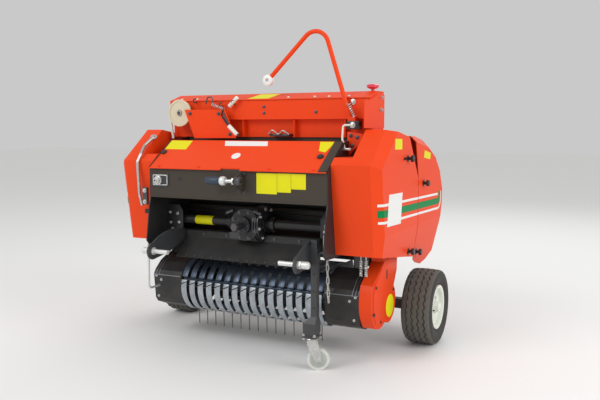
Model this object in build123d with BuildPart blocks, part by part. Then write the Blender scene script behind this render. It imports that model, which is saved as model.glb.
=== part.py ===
"""Mini round baler for the three-point hitch of a small tractor. Sizes are in millimetres.

X runs across the machine, Y from the hitch at the front to the tailgate at the back, and Z up.
The origin is on the ground under the middle of the outline. Outlines in the YZ plane are written
as (y, z) points. A piece with a twin on the other side is made on the +X side and mirrored.
"""
import os
from math import cos, hypot, radians, sin

from build123d import *

os.makedirs("parts", exist_ok=True)

# Driving sizes: the frame's side plates and the bale chamber
PLATE_X = 496  # inner face of each side plate
PLATE_T = 6
CHAMBER_Y = 190
CHAMBER_Z = 745
ROLLER_RING_R = 285  # circle through the rollers' centres
ROLLER_R = 38  # tube of a roller, without its ribs
RIB_H = 7
RIB_W = 8
RIB_COUNT = 10
ROLLER_GAP = 3  # between a roller's end and the side plate
ROLLER_SHAFT_R = 15
SEAM_Y = 135  # where the front and the tailgate meet
SEAM_GAP = 6

# Angles of the rollers round the chamber, in degrees from +Y towards +Z
FRONT_ROLLER_ANGLES = (130, 155, 180, 203, 253)
GATE_ROLLER_ANGLES = (100, 75, 50, 25, 0, -25, -50, -75)

# Tailgate hinge
GATE_PIVOT_Y = 70
GATE_PIVOT_Z = 1040
GATE_PIN_R = 12
GATE_EAR_R = 32
BOSS_T = 4  # doubled plate round the hinge pin
RUN_FIT = 0.05  # radial clearance of a pin that turns in its bore

# Wheels
TYRE_R = 197.5
TYRE_W = 165
TYRE_OUTER_X = 846
AXLE_Y = 200
RIM_LIP_R = 115.5
RIM_BARREL_R = 101
AXLE_R = 15
AXLE_BEAM = 50
HUB_R = 32

# Three-point hitch
HITCH_PIN_Y = -603
HITCH_PIN_Z = 525
HITCH_PIN_R = 11  # 22 mm pins of a category 1 hitch
HITCH_ARM_X = 400
HITCH_ARM_T = 8
HITCH_EYE_R = 42
TOP_PIN_Y = -550
TOP_PIN_Z = 885
TOP_PIN_R = 9.5
HITCH_BEAM_Y = -300
HITCH_BEAM_Z = 575
HITCH_BEAM = 50
GUARD_HALF = 394

# Front panel and hood
PANEL_Y = -490
PANEL_Z = (785, 938)
HOOD_FRONT = (-504, 936)
HOOD_BACK = (-309, 1072)
SHEET_T = 4

# Side covers
COVER_OUT_X = 734
COVER_T = 4
COVER_CHAMFER = 42
COVER_LEAN = 30  # how far the lower side leans in
COVER_CREASE_Z = 640
COVER_LOW_Z = 400
TAB_Z = 1001  # top of the low inboard part of a front cover

# Drive
GEARBOX_Y = -380
GEARBOX_Z = 655
TUBE_R = 23
PTO_R = 17.4
PTO_LENGTH = 80
PTO_JOURNAL_R = 20  # part of the shaft that runs in the gearbox

# Twine box over the hood
BOX_HALF = 588
BOX_FRONT_Y = -190
BOX_BACK_Y = 0
BOX_LOW_Z = 1090
BOX_STEP_Z = 1182
BOX_FOLD_Z = 1278
BOX_TOP_Z = 1318
BOX_RIDGE_Y = -90
TWINE_PLATE_Y = -238

# Pickup
REEL_Y = -220
REEL_Z = 292
TIP_R = 220
BAR_RING_R = 105
BAR_R = 10
TINE_R = 2.5
TINE_RAKE = 12  # degrees that a tip trails its bar
BAR_ANGLES = (159, 249, 339, 69)
REEL_SHAFT_R = 15
BAND_COUNT = 16
BAND_PITCH = 52.6
BAND_W = 25
BAND_R = 140
BAND_T = 4
SLOT_ANGLES = (156, 163)  # gap between an upper and a lower band
PICKUP_X = 420  # inner face of each end housing
PICKUP_OUT_X = 600
PICKUP_PIVOT_Y = -80
PICKUP_PIVOT_Z = 550
PICKUP_PIN_R = 20
PICKUP_EAR_R = 36
BEAM_Y = 47
BEAM_Z = 262
BEAM = 46
STRIP_Y = -15
CASE_T = 62

# Parking stand with its caster
LEG_Y = -465
LEG_W = 30
LEG_TOP_Z = 620
SLEEVE_T = 3
SLEEVE_GAP = 1  # between the leg and the sleeve that it slides in
SLEEVE_Z = (522, 598)
FOOT_X = 411
FOOT_PLATE_Z = 158
FOOT_PLATE_W = 70
CASTER_R = 53
CASTER_W = 30
CASTER_TRAIL = 30
CASTER_TURN = 26.4  # heading of the trailing wheel, in degrees from +X towards +Y

# Lift chains of the pickup: (x, y, z) of the upper and the lower end on the +X side
CHAIN_TOP = (470, -440, 690)
CHAIN_LOW = (446, -351, 300)
ROD_CHAIN_TOP = (532, -460, 690)  # on the -X side a shorter chain carries a bent rod
ROD_CHAIN_LOW = (550, -452, 496)
ROD_POINTS = [(550, -452, 500), (562, -440, 287), (566, -343.3, 285)]
ROD_R = 6
ROD_LINK_COUNT = 6
LINK_COUNT = 12
LINK_W = 15
LINK_WIRE = 4
LUG_L = 40  # lug on each side plate that a chain hangs from
LUG_W = 20
LUG_H = 22


def save(shape, name):
    """Label one piece and write its STEP file."""
    shape.label = name
    export_step(shape, f"parts/{name}.step")


def save_pair(shape, name):
    """Write a piece of the +X side and its mirrored twin."""
    save(mirror(shape, about=Plane.YZ), f"{name}_left")
    save(shape, f"{name}_right")


def ring_point(radius, angle, centre=(0, 0)):
    """Point at an angle round a centre in the YZ plane."""
    return (centre[0] + radius * cos(radians(angle)), centre[1] + radius * sin(radians(angle)))


def across(y, z, x=0):
    """Plane that faces +X with its origin at a given place."""
    return Plane(origin=(x, y, z), x_dir=(0, 1, 0), z_dir=(1, 0, 0))


CHAMBER = (CHAMBER_Y, CHAMBER_Z)
FRONT_EDGE_Y = SEAM_Y - SEAM_GAP / 2
GATE_EDGE_Y = SEAM_Y + SEAM_GAP / 2
PLATE_OUT_X = PLATE_X + PLATE_T
TYRE_X = TYRE_OUTER_X - TYRE_W / 2
AXLE_Z = TYRE_R

# Frame side plates
side_outline = [
    (-385, 530),
    (-505, 535),
    (-530, 562),
    (-502, 742),
    (PANEL_Y, PANEL_Z[0]),
    (PANEL_Y, 940),
    (-314, 1066),
    (-150, BOX_LOW_Z),
    (-25, BOX_LOW_Z),
    (FRONT_EDGE_Y, 880),
    (FRONT_EDGE_Y, 415),
    (-60, 415),
    (-155, 440),
    (-165, 545),
]
with BuildPart() as side_plate:
    with BuildSketch(Plane.YZ.offset(PLATE_X)):
        with BuildLine():
            Polyline(*side_outline, close=True)
        make_face()
    extrude(amount=PLATE_T)
    with BuildSketch(Plane.YZ.offset(PLATE_OUT_X)):
        with BuildLine():
            Polyline((-60, GATE_PIVOT_Z + 30), (GATE_PIVOT_Y, GATE_PIVOT_Z + 30),
                     (GATE_PIVOT_Y, GATE_PIVOT_Z - 30), (-60, GATE_PIVOT_Z - 30), close=True)
        make_face()
        with Locations((GATE_PIVOT_Y, GATE_PIVOT_Z)):
            Circle(30)
            Circle(GATE_PIN_R, mode=Mode.SUBTRACT)
    extrude(amount=BOSS_T)


def side_plate_with_lug(plate_face, lug_length, chain_top, name):
    """Write a side plate with the lug that its lift chain hangs from."""
    with BuildPart() as plate:
        add(side_plate.part)
        with BuildSketch(Plane.XZ.offset(-chain_top[1] - LUG_W / 2)):
            with Locations((plate_face, chain_top[2] + LINK_WIRE)):
                Rectangle(abs(lug_length), LUG_H, align=(Align.MIN if lug_length > 0 else Align.MAX, Align.MIN))
        extrude(amount=LUG_W)
    save(plate.part if name.endswith("right") else mirror(plate.part, about=Plane.YZ), name)


side_plate_with_lug(PLATE_X, -LUG_L, CHAIN_TOP, "side_plate_right")
side_plate_with_lug(PLATE_OUT_X, LUG_L + 12, ROD_CHAIN_TOP, "side_plate_left")

with BuildPart() as gate_pin:
    with BuildSketch(across(GATE_PIVOT_Y, GATE_PIVOT_Z, PLATE_X - 8)):
        Circle(GATE_PIN_R)
    extrude(amount=34)
    with BuildSketch(across(GATE_PIVOT_Y, GATE_PIVOT_Z, PLATE_X - 8)):
        Circle(18)
    extrude(amount=6)
    mirror(about=Plane.YZ)
save(gate_pin.part, "gate_hinge_pins")


for rollers_name, angles in (("front_rollers", FRONT_ROLLER_ANGLES), ("gate_rollers", GATE_ROLLER_ANGLES)):
    roller_half = PLATE_X - ROLLER_GAP
    with BuildPart() as rollers:
        for roller_angle in angles:
            roller_y, roller_z = ring_point(ROLLER_RING_R, roller_angle, CHAMBER)
            with BuildSketch(across(roller_y, roller_z, -roller_half)):
                Circle(ROLLER_R)
                with PolarLocations(ROLLER_R, RIB_COUNT, start_angle=roller_angle):
                    Rectangle(2 * RIB_H, RIB_W)
            extrude(amount=2 * roller_half)
            with BuildSketch(across(roller_y, roller_z, -PLATE_X)):
                Circle(ROLLER_SHAFT_R)
            extrude(amount=2 * PLATE_X)
    save(rollers.part, rollers_name)

# Cross members of the front
with BuildPart() as cross_panel:
    with BuildSketch(Plane.YZ.offset(-PLATE_X)):
        with BuildLine():
            Polyline((PANEL_Y, PANEL_Z[0]), (PANEL_Y, PANEL_Z[1]), (PANEL_Y + 6, PANEL_Z[1]),
                     (PANEL_Y + 6, PANEL_Z[0] + 6), (PANEL_Y + 90, PANEL_Z[0] + 6),
                     (PANEL_Y + 90, PANEL_Z[0]), close=True)
        make_face()
    extrude(amount=2 * PLATE_X)
    with Locations((0, -142, (1030 + BOX_LOW_Z) / 2)):
        Box(2 * PLATE_X, 6, BOX_LOW_Z - 1030)
save(cross_panel.part, "cross_panel")

with BuildPart() as hood:
    with BuildSketch(Plane.YZ.offset(-PLATE_X)):
        with BuildLine():
            Polyline((HOOD_FRONT[0], HOOD_FRONT[1] - 4), HOOD_FRONT, HOOD_BACK,
                     (HOOD_BACK[0] + 90, HOOD_BACK[1]), (HOOD_BACK[0] + 90, HOOD_BACK[1] - SHEET_T),
                     (HOOD_BACK[0] + 2, HOOD_BACK[1] - SHEET_T), (HOOD_FRONT[0] + SHEET_T, HOOD_FRONT[1] - 4),
                     close=True)
        make_face()
    extrude(amount=2 * PLATE_X)
    with Locations((-11, HOOD_FRONT[0], HOOD_FRONT[1])):
        Box(110, 26, 40, mode=Mode.SUBTRACT)
save(hood.part, "hood")

with BuildPart() as hitch_beam:
    with Locations((0, HITCH_BEAM_Y, HITCH_BEAM_Z)):
        Box(2 * PLATE_X, HITCH_BEAM, HITCH_BEAM)
        Box(2 * PLATE_X, HITCH_BEAM - 10, HITCH_BEAM - 10, mode=Mode.SUBTRACT)
save(hitch_beam.part, "hitch_beam")

BEAM_FACE_Y = HITCH_BEAM_Y - HITCH_BEAM / 2
with BuildPart() as hitch_arm:
    with BuildSketch(Plane.YZ.offset(HITCH_ARM_X)):
        with BuildLine():
            Line((HITCH_PIN_Y, HITCH_PIN_Z - HITCH_EYE_R), (-480, 500))
            Line((-480, 500), (BEAM_FACE_Y, 552))
            Line((BEAM_FACE_Y, 552), (BEAM_FACE_Y, 606))
            Line((BEAM_FACE_Y, 606), (-400, 614))
            ThreePointArc((-400, 614), (-515, 606), (HITCH_PIN_Y, HITCH_PIN_Z + HITCH_EYE_R))
            ThreePointArc((HITCH_PIN_Y, HITCH_PIN_Z + HITCH_EYE_R), (HITCH_PIN_Y - HITCH_EYE_R, HITCH_PIN_Z),
                          (HITCH_PIN_Y, HITCH_PIN_Z - HITCH_EYE_R))
        make_face()
        with Locations((HITCH_PIN_Y, HITCH_PIN_Z)):
            Circle(HITCH_PIN_R, mode=Mode.SUBTRACT)
    extrude(amount=HITCH_ARM_T)
save_pair(hitch_arm.part, "hitch_arm")

with BuildPart() as hitch_pin:
    with BuildSketch(across(HITCH_PIN_Y, HITCH_PIN_Z, HITCH_ARM_X - 90)):
        Circle(HITCH_PIN_R)
    extrude(amount=90 + HITCH_ARM_T + 50)
    with BuildSketch(across(HITCH_PIN_Y, HITCH_PIN_Z, HITCH_ARM_X - 6)):
        Circle(19)
    extrude(amount=6)
    with BuildSketch(across(HITCH_PIN_Y, HITCH_PIN_Z, HITCH_ARM_X + HITCH_ARM_T)):
        RegularPolygon(19, 6)
    extrude(amount=18)
    with BuildSketch(across(HITCH_PIN_Y, HITCH_PIN_Z, HITCH_ARM_X + HITCH_ARM_T + 22)):
        Circle(17)
    extrude(amount=34)
    fillet(hitch_pin.edges().filter_by(GeomType.CIRCLE).sort_by(Axis.X)[-1], 9)
    mirror(about=Plane.YZ)
save(hitch_pin.part, "hitch_pins")

with BuildPart() as top_bracket:
    with BuildSketch(Plane.YZ.offset(45)):
        with BuildLine():
            Polyline((PANEL_Y, TOP_PIN_Z - 60), (TOP_PIN_Y, TOP_PIN_Z - 24), (TOP_PIN_Y - 24, TOP_PIN_Z),
                     (TOP_PIN_Y, TOP_PIN_Z + 24), (PANEL_Y, TOP_PIN_Z + 40), close=True)
        make_face()
        with Locations((TOP_PIN_Y, TOP_PIN_Z)):
            Circle(TOP_PIN_R, mode=Mode.SUBTRACT)
    extrude(amount=10)
save(top_bracket.part, "top_link_bracket")

with BuildPart() as top_pin:
    with BuildSketch(across(TOP_PIN_Y, TOP_PIN_Z, -65)):
        Circle(TOP_PIN_R)
    extrude(amount=65 + 45 + 10 + 14)
    with BuildSketch(across(TOP_PIN_Y, TOP_PIN_Z, 33)):
        RegularPolygon(17, 6)
    extrude(amount=12)
save(top_pin.part, "top_link_pin")

# Crop guard over the pickup, bolted to the hitch beam
with BuildPart() as wind_guard:
    with BuildSketch(Plane.YZ.offset(-GUARD_HALF)):
        with BuildLine():
            Polyline((BEAM_FACE_Y, 596), (BEAM_FACE_Y, 560), (-420, 470), (-424, 473), (BEAM_FACE_Y - 4, 566),
                     (BEAM_FACE_Y - 4, 596), close=True)
        make_face()
    extrude(amount=2 * GUARD_HALF)
save(wind_guard.part, "wind_guard")

# Gearbox, cross tubes and power take-off stub
with BuildPart() as gearbox:
    with Locations((0, GEARBOX_Y + 75, GEARBOX_Z)):
        Box(150, 130, 100)
    fillet(gearbox.edges().filter_by(Axis.Y), 28)
    with BuildSketch(Plane(origin=(0, GEARBOX_Y - 8, GEARBOX_Z), x_dir=(1, 0, 0), z_dir=(0, -1, 0))):
        Circle(80)
    extrude(amount=-18)
    with BuildSketch(Plane(origin=(0, GEARBOX_Y - 8, GEARBOX_Z), x_dir=(1, 0, 0), z_dir=(0, -1, 0))):
        Circle(42)
    extrude(amount=22)
    with BuildSketch(Plane(origin=(0, GEARBOX_Y - 30, GEARBOX_Z), x_dir=(1, 0, 0), z_dir=(0, -1, 0))):
        Circle(PTO_JOURNAL_R + RUN_FIT)
    extrude(amount=-50, mode=Mode.SUBTRACT)
save(gearbox.part, "gearbox")

with BuildPart() as pto:
    with BuildSketch(Plane(origin=(0, GEARBOX_Y + 15, GEARBOX_Z), x_dir=(1, 0, 0), z_dir=(0, -1, 0))):
        Circle(PTO_JOURNAL_R)
    extrude(amount=45)
    with BuildSketch(Plane(origin=(0, GEARBOX_Y - 30, GEARBOX_Z), x_dir=(1, 0, 0), z_dir=(0, -1, 0))):
        Circle(PTO_R)
    extrude(amount=PTO_LENGTH)
save(pto.part, "pto_stub")

with BuildPart() as drive_tube:
    with BuildSketch(across(GEARBOX_Y + 75, GEARBOX_Z, 75)):
        Circle(TUBE_R)
    extrude(amount=PLATE_X - 75)
    with BuildSketch(across(GEARBOX_Y + 75, GEARBOX_Z, 75)):
        Circle(TUBE_R + 18)
    extrude(amount=14)
    with BuildSketch(across(GEARBOX_Y + 75, GEARBOX_Z, PLATE_X - 12)):
        Circle(TUBE_R + 18)
    extrude(amount=12)
    mirror(about=Plane.YZ)
save(drive_tube.part, "drive_tubes")

# Curved sheet that closes the chamber above the intake
with BuildPart() as intake_sheet:
    with BuildSketch(Plane.YZ.offset(-PLATE_X)):
        with BuildLine():
            ThreePointArc((-262, 556), (-196, 610), (-165, 720))
            Line((-165, 720), (-169, 720))
            ThreePointArc((-169, 720), (-199, 613), (-265, 560))
            Line((-265, 560), (-262, 556))
        make_face()
    extrude(amount=2 * PLATE_X)
save(intake_sheet.part, "intake_sheet")


def inset(outline, wall, open_edges):
    """Clockwise outline moved inwards by a wall, and outwards along its open edges."""
    count = len(outline)
    lines = []
    for index, (start_y, start_z) in enumerate(outline):
        end_y, end_z = outline[(index + 1) % count]
        length = hypot(end_y - start_y, end_z - start_z)
        normal = ((end_z - start_z) / length, (start_y - end_y) / length)
        shift = -wall if index in open_edges else wall
        lines.append((*normal, normal[0] * start_y + normal[1] * start_z + shift))
    corners = []
    for index in range(count):
        a_y, a_z, a_c = lines[index - 1]
        b_y, b_z, b_c = lines[index]
        turn = a_y * b_z - a_z * b_y
        corners.append(((a_c * b_z - b_c * a_z) / turn, (a_y * b_c - b_y * a_c) / turn))
    return corners


def cover_form(outline, in_x, out_x, chamfer_size, chamfered, inner_wall_x, shelf_z):
    """Closed form of a side cover, with its chamfered edges and its lower side leaning in."""
    with BuildPart() as form:
        with BuildSketch(Plane.YZ.offset(in_x)):
            with BuildLine():
                Polyline(*outline, close=True)
            make_face()
        extrude(amount=out_x - in_x)
        outer = form.faces().sort_by(Axis.X)[-1]
        chamfer([edge for edge in outer.edges() if chamfered(edge.center())], chamfer_size)
        with BuildSketch(Plane.XZ):
            with BuildLine():
                Polyline((out_x, COVER_CREASE_Z), (out_x - COVER_LEAN, COVER_LOW_Z), (out_x + 50, COVER_LOW_Z),
                         (out_x + 50, COVER_CREASE_Z), close=True)
            make_face()
        extrude(amount=1000, both=True, mode=Mode.SUBTRACT)
        with BuildSketch(Plane.XZ):
            with Locations((inner_wall_x, shelf_z)):
                Rectangle(500, 500, align=(Align.MAX, Align.MIN))
        extrude(amount=1000, both=True, mode=Mode.SUBTRACT)
    return form.part


def cover(name, outline, open_edges, chamfered, inner_wall_x, shelf_z):
    """Side cover folded from sheet: a box that is open inwards, below and along the seam."""
    hollow = cover_form(inset(outline, COVER_T, open_edges), PLATE_OUT_X - 1, COVER_OUT_X - COVER_T,
                        COVER_CHAMFER - COVER_T * (2 - 2 ** 0.5), chamfered, inner_wall_x + COVER_T, shelf_z - COVER_T)
    with BuildPart() as shell:
        add(cover_form(outline, PLATE_OUT_X, COVER_OUT_X, COVER_CHAMFER, chamfered, inner_wall_x, shelf_z))
        add(hollow, mode=Mode.SUBTRACT)
    save_pair(shell.part, name)


front_outline = [
    (-462, 968),
    (-260, 1128),
    (-101, 1104),
    (-21, 1092),
    (FRONT_EDGE_Y, 880),
    (FRONT_EDGE_Y, 468),
    (-7, 490),
    (-400, 546),
]
gate_outline = [
    (GATE_EDGE_Y, 880),
    (82, 1096),
    (190, 1094),
    (331, 1072),
    (474, 1012),
    (576, 925),
    (645, 800),
    (640, 700),
    (598, 590),
    (514, 456),
    (375, 415),
    (280, 405),
    (186, 428),
    (GATE_EDGE_Y, 452),
]


FRONT_OPEN = (3, 4, 5, 6)  # edges of the outline along the seam and underneath
GATE_OPEN = (0, 9, 10, 11, 12, 13)
cover("cover_front", front_outline, FRONT_OPEN, lambda at: at.Y < -200 and at.Z > 600,
      BOX_HALF + 5, TAB_Z)
cover("cover_rear", gate_outline, GATE_OPEN, lambda at: at.Y > 250 and at.Z > 500, 0, 2000)

# Tailgate plates and cross bars
with BuildPart() as gate_plate:
    with BuildSketch(Plane.YZ.offset(PLATE_X)):
        with BuildLine():
            Polyline(*gate_outline, close=True)
        make_face()
        with BuildLine():
            Polyline((GATE_PIVOT_Y, GATE_PIVOT_Z + GATE_EAR_R), (160, 1080), (160, 950),
                     (GATE_PIVOT_Y, GATE_PIVOT_Z - GATE_EAR_R), close=True)
        make_face()
        with Locations((GATE_PIVOT_Y, GATE_PIVOT_Z)):
            Circle(GATE_EAR_R)
            Circle(GATE_PIN_R + RUN_FIT, mode=Mode.SUBTRACT)
    extrude(amount=PLATE_T)
save_pair(gate_plate.part, "gate_plate")

gate_bars_at = [(462, 982), (484, 500)]  # (y, z) of each cross bar
with BuildPart() as gate_bars:
    for bar_y, bar_z in gate_bars_at:
        with Locations((0, bar_y, bar_z)):
            Box(2 * PLATE_X, 40, 40)
save(gate_bars.part, "gate_bars")

# Axle beam with its brackets
with BuildPart() as axle:
    with Locations((0, AXLE_Y, AXLE_Z)):
        Box(2 * 672, AXLE_BEAM, AXLE_BEAM)
    with BuildSketch(Plane.YZ.offset(PLATE_OUT_X)):
        with BuildLine():
            Polyline((56, 540), (124, 540), (124, 424), (225, 222), (225, 173), (175, 173), (56, 400), close=True)
        make_face()
    extrude(amount=8)
    with BuildSketch(across(AXLE_Y, AXLE_Z, 672)):
        Circle(AXLE_R)
    extrude(amount=128)
    with BuildSketch(across(AXLE_Y, AXLE_Z, 672)):
        Circle(26)
    extrude(amount=30)
    mirror(about=Plane.YZ)
save(axle.part, "axle")

# Tyres and rims
section = Plane(origin=(TYRE_X, AXLE_Y, AXLE_Z), x_dir=(1, 0, 0), z_dir=(0, -1, 0))
wheel_axis = Axis((TYRE_X, AXLE_Y, AXLE_Z), (1, 0, 0))
HALF_W = TYRE_W / 2
TREAD_HALF = 66
BEAD_HALF = 60
GROOVE_D = 7
groove_x = (-44, -15, 15, 44)
with BuildPart() as tyre:
    with BuildSketch(section):
        with BuildLine():
            Line((BEAD_HALF, RIM_BARREL_R + 3), (BEAD_HALF, RIM_LIP_R + 2))
            ThreePointArc((BEAD_HALF, RIM_LIP_R + 2), (HALF_W, 155), (TREAD_HALF + 6, TYRE_R - 8))
            Line((TREAD_HALF + 6, TYRE_R - 8), (TREAD_HALF, TYRE_R - 1))
            ThreePointArc((TREAD_HALF, TYRE_R - 1), (0, TYRE_R), (-TREAD_HALF, TYRE_R - 1))
            Line((-TREAD_HALF, TYRE_R - 1), (-TREAD_HALF - 6, TYRE_R - 8))
            ThreePointArc((-TREAD_HALF - 6, TYRE_R - 8), (-HALF_W, 155), (-BEAD_HALF, RIM_LIP_R + 2))
            Line((-BEAD_HALF, RIM_LIP_R + 2), (-BEAD_HALF, RIM_BARREL_R + 3))
            Line((-BEAD_HALF, RIM_BARREL_R + 3), (BEAD_HALF, RIM_BARREL_R + 3))
        make_face()
        with Locations(*[(x, TYRE_R) for x in groove_x]):
            Rectangle(8, 2 * GROOVE_D, mode=Mode.SUBTRACT)
    revolve(axis=wheel_axis)
save_pair(tyre.part, "tyre")

with BuildPart() as rim:
    with BuildSketch(section):
        with BuildLine():
            Polyline((-68, RIM_LIP_R), (-61, RIM_LIP_R), (-61, RIM_BARREL_R + 2.7), (61, RIM_BARREL_R + 2.7),
                     (61, RIM_LIP_R), (70, RIM_LIP_R), (68, RIM_BARREL_R - 2), (48, RIM_BARREL_R - 6),
                     (36, 70), (44, HUB_R), (58, HUB_R), (58, AXLE_R + RUN_FIT), (-50, AXLE_R + RUN_FIT),
                     (-50, HUB_R), (36, HUB_R), (28, 70), (40, RIM_BARREL_R - 4), (-68, RIM_BARREL_R - 2),
                     close=True)
        make_face()
    revolve(axis=wheel_axis)
    with BuildSketch(across(AXLE_Y, AXLE_Z, TYRE_X + 58)):
        Circle(HUB_R - 4)
    extrude(amount=6)
    with BuildSketch(across(AXLE_Y, AXLE_Z, TYRE_X + 20)):
        Circle(AXLE_R + RUN_FIT)
    extrude(amount=39, mode=Mode.SUBTRACT)
save_pair(rim.part, "rim")

# Twine box with its hinged lid
box_outline = [
    (BOX_FRONT_Y, BOX_FOLD_Z),
    (BOX_FRONT_Y, BOX_STEP_Z),
    (BOX_FRONT_Y + 35, BOX_STEP_Z),
    (BOX_FRONT_Y + 35, BOX_LOW_Z),
    (BOX_BACK_Y, BOX_LOW_Z),
    (BOX_BACK_Y, BOX_TOP_Z - 6),
    (BOX_RIDGE_Y, BOX_TOP_Z - 6),
]
with BuildPart() as twine_box:
    with BuildSketch(Plane.YZ.offset(-BOX_HALF)):
        with BuildLine():
            Polyline(*box_outline, close=True)
        make_face()
    extrude(amount=2 * BOX_HALF)
    lid_side = [f for f in twine_box.faces() if f.normal_at().Z > 0.7]
    offset(amount=-SHEET_T, openings=lid_side)
    with BuildSketch(Plane.YZ.offset(BOX_HALF)):
        with BuildLine():
            Polyline((-274, 1136), (-274, 1256), (-258, 1268), (BOX_FRONT_Y, 1270), (BOX_RIDGE_Y - 8, 1302),
                     (BOX_BACK_Y, 1302), (BOX_BACK_Y, 1136), close=True)
        make_face()
    extrude(amount=SHEET_T)
    for rib_x in (-122, 178, 458):
        with Locations((rib_x, BOX_FRONT_Y + 17.5, (BOX_LOW_Z + BOX_STEP_Z) / 2)):
            Box(4, 35, BOX_STEP_Z - BOX_LOW_Z)
save(twine_box.part, "twine_box")

with BuildPart() as twine_lid:
    with BuildSketch(Plane.YZ.offset(-BOX_HALF)):
        with BuildLine():
            Polyline((BOX_FRONT_Y - 3, BOX_FOLD_Z + 2), (BOX_RIDGE_Y, BOX_TOP_Z - 5), (BOX_BACK_Y, BOX_TOP_Z - 5),
                     (BOX_BACK_Y, BOX_TOP_Z), (BOX_RIDGE_Y, BOX_TOP_Z), (BOX_FRONT_Y - 3, BOX_FOLD_Z + 7),
                     close=True)
        make_face()
    extrude(amount=2 * BOX_HALF)
save(twine_lid.part, "twine_lid")

with BuildPart() as twine_plate:
    with BuildSketch(Plane.XZ.offset(-TWINE_PLATE_Y)):
        with BuildLine():
            Polyline((-457, 1235), (-201, 1232), (-134, 1085), (-394, 1083), close=True)
        make_face()
    extrude(amount=SHEET_T)
    with Locations((-300, (TWINE_PLATE_Y + BOX_FRONT_Y + 35) / 2, 1150)):
        Box(40, BOX_FRONT_Y + 35 - TWINE_PLATE_Y, 60)
save(twine_plate.part, "twine_plate")

with BuildPart() as twine_pulley:
    with BuildSketch(Plane(origin=(-495, -222, 1218), x_dir=(1, 0, 0), z_dir=(0, -1, 0))):
        Circle(70)
    extrude(amount=12)
    with BuildSketch(Plane(origin=(-495, BOX_FRONT_Y, 1218), x_dir=(1, 0, 0), z_dir=(0, -1, 0))):
        Circle(14)
    extrude(amount=50)
save(twine_pulley.part, "twine_pulley")

ARM_Y = -215
ARM_R = 11
arm_points = [(500, ARM_Y, 1170), (340, ARM_Y, 1668), (60, ARM_Y, 1394)]
with BuildPart() as twine_arm:
    with BuildLine() as arm_path:
        FilletPolyline(*arm_points, radius=72)
    with BuildSketch(Plane(origin=arm_path.line @ 0, z_dir=arm_path.line % 0)):
        Circle(ARM_R)
    sweep()
    with Locations((505, BOX_FRONT_Y - 18, 1165)):
        Box(40, 36, 50)
    with BuildSketch(Plane(origin=(44, ARM_Y - 10, 1378), x_dir=(1, 0, 0), z_dir=(0, 1, 0))):
        Circle(26)
        Circle(10, mode=Mode.SUBTRACT)
    extrude(amount=20)
save(twine_arm.part, "twine_arm")


# Pickup
def band_x(index):
    """Middle of one stripper band across the machine."""
    return (index - (BAND_COUNT - 1) / 2) * BAND_PITCH


REEL = (REEL_Y, REEL_Z)
BAND_IN_R = BAND_R - BAND_T
STRIP_Z = REEL_Z + BAND_R
band_slot_low = SLOT_ANGLES[1]
band_slot_high = SLOT_ANGLES[0]
under_end = (BEAM_Y - BEAM / 2, BEAM_Z - BEAM / 2 + BAND_T)
with BuildPart() as bands:
    for index in range(BAND_COUNT):
        x_low = band_x(index) - BAND_W / 2
        with BuildSketch(Plane.YZ.offset(x_low)):
            with BuildLine():
                Line((STRIP_Y, STRIP_Z), (REEL_Y, STRIP_Z))
                ThreePointArc((REEL_Y, STRIP_Z), ring_point(BAND_R, 120, REEL), ring_point(BAND_R, band_slot_high, REEL))
                Line(ring_point(BAND_R, band_slot_high, REEL), ring_point(BAND_IN_R, band_slot_high, REEL))
                ThreePointArc(ring_point(BAND_IN_R, band_slot_high, REEL), ring_point(BAND_IN_R, 120, REEL),
                              (REEL_Y, STRIP_Z - BAND_T))
                Line((REEL_Y, STRIP_Z - BAND_T), (STRIP_Y, STRIP_Z - BAND_T))
                Line((STRIP_Y, STRIP_Z - BAND_T), (STRIP_Y, STRIP_Z))
            make_face()
            with BuildLine():
                ThreePointArc(ring_point(BAND_R, band_slot_low, REEL), ring_point(BAND_R, 220, REEL),
                              ring_point(BAND_R, 280, REEL))
                Line(ring_point(BAND_R, 280, REEL), (under_end[0] + 4, under_end[1] - BAND_T))
                Line((under_end[0] + 4, under_end[1] - BAND_T), (under_end[0] + 4, under_end[1]))
                Line((under_end[0] + 4, under_end[1]), ring_point(BAND_IN_R, 280, REEL))
                ThreePointArc(ring_point(BAND_IN_R, 280, REEL), ring_point(BAND_IN_R, 220, REEL),
                              ring_point(BAND_IN_R, band_slot_low, REEL))
                Line(ring_point(BAND_IN_R, band_slot_low, REEL), ring_point(BAND_R, band_slot_low, REEL))
            make_face()
        extrude(amount=BAND_W)
    with Locations((0, BEAM_Y, BEAM_Z)):
        Box(2 * PICKUP_X, BEAM, BEAM)
    with Locations((0, STRIP_Y + 10, STRIP_Z - BAND_T / 2)):
        Box(2 * PICKUP_X, 30, BAND_T)
    with BuildSketch(Plane.YZ.offset(-PICKUP_X)):
        with BuildLine():
            Polyline((7, STRIP_Z - BAND_T), (10, STRIP_Z - BAND_T), (BEAM_Y - BEAM / 2 + 3, BEAM_Z + BEAM / 2),
                     (BEAM_Y - BEAM / 2, BEAM_Z + BEAM / 2), close=True)
        make_face()
        with BuildLine():
            Polyline((BEAM_Y - BEAM / 2 + 5, BEAM_Z - BEAM / 2), (BEAM_Y - BEAM / 2 + 8, BEAM_Z - BEAM / 2),
                     (-27, 163), (-30, 165), close=True)
        make_face()
    extrude(amount=2 * PICKUP_X)
save(bands.part, "pickup_bands")

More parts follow.
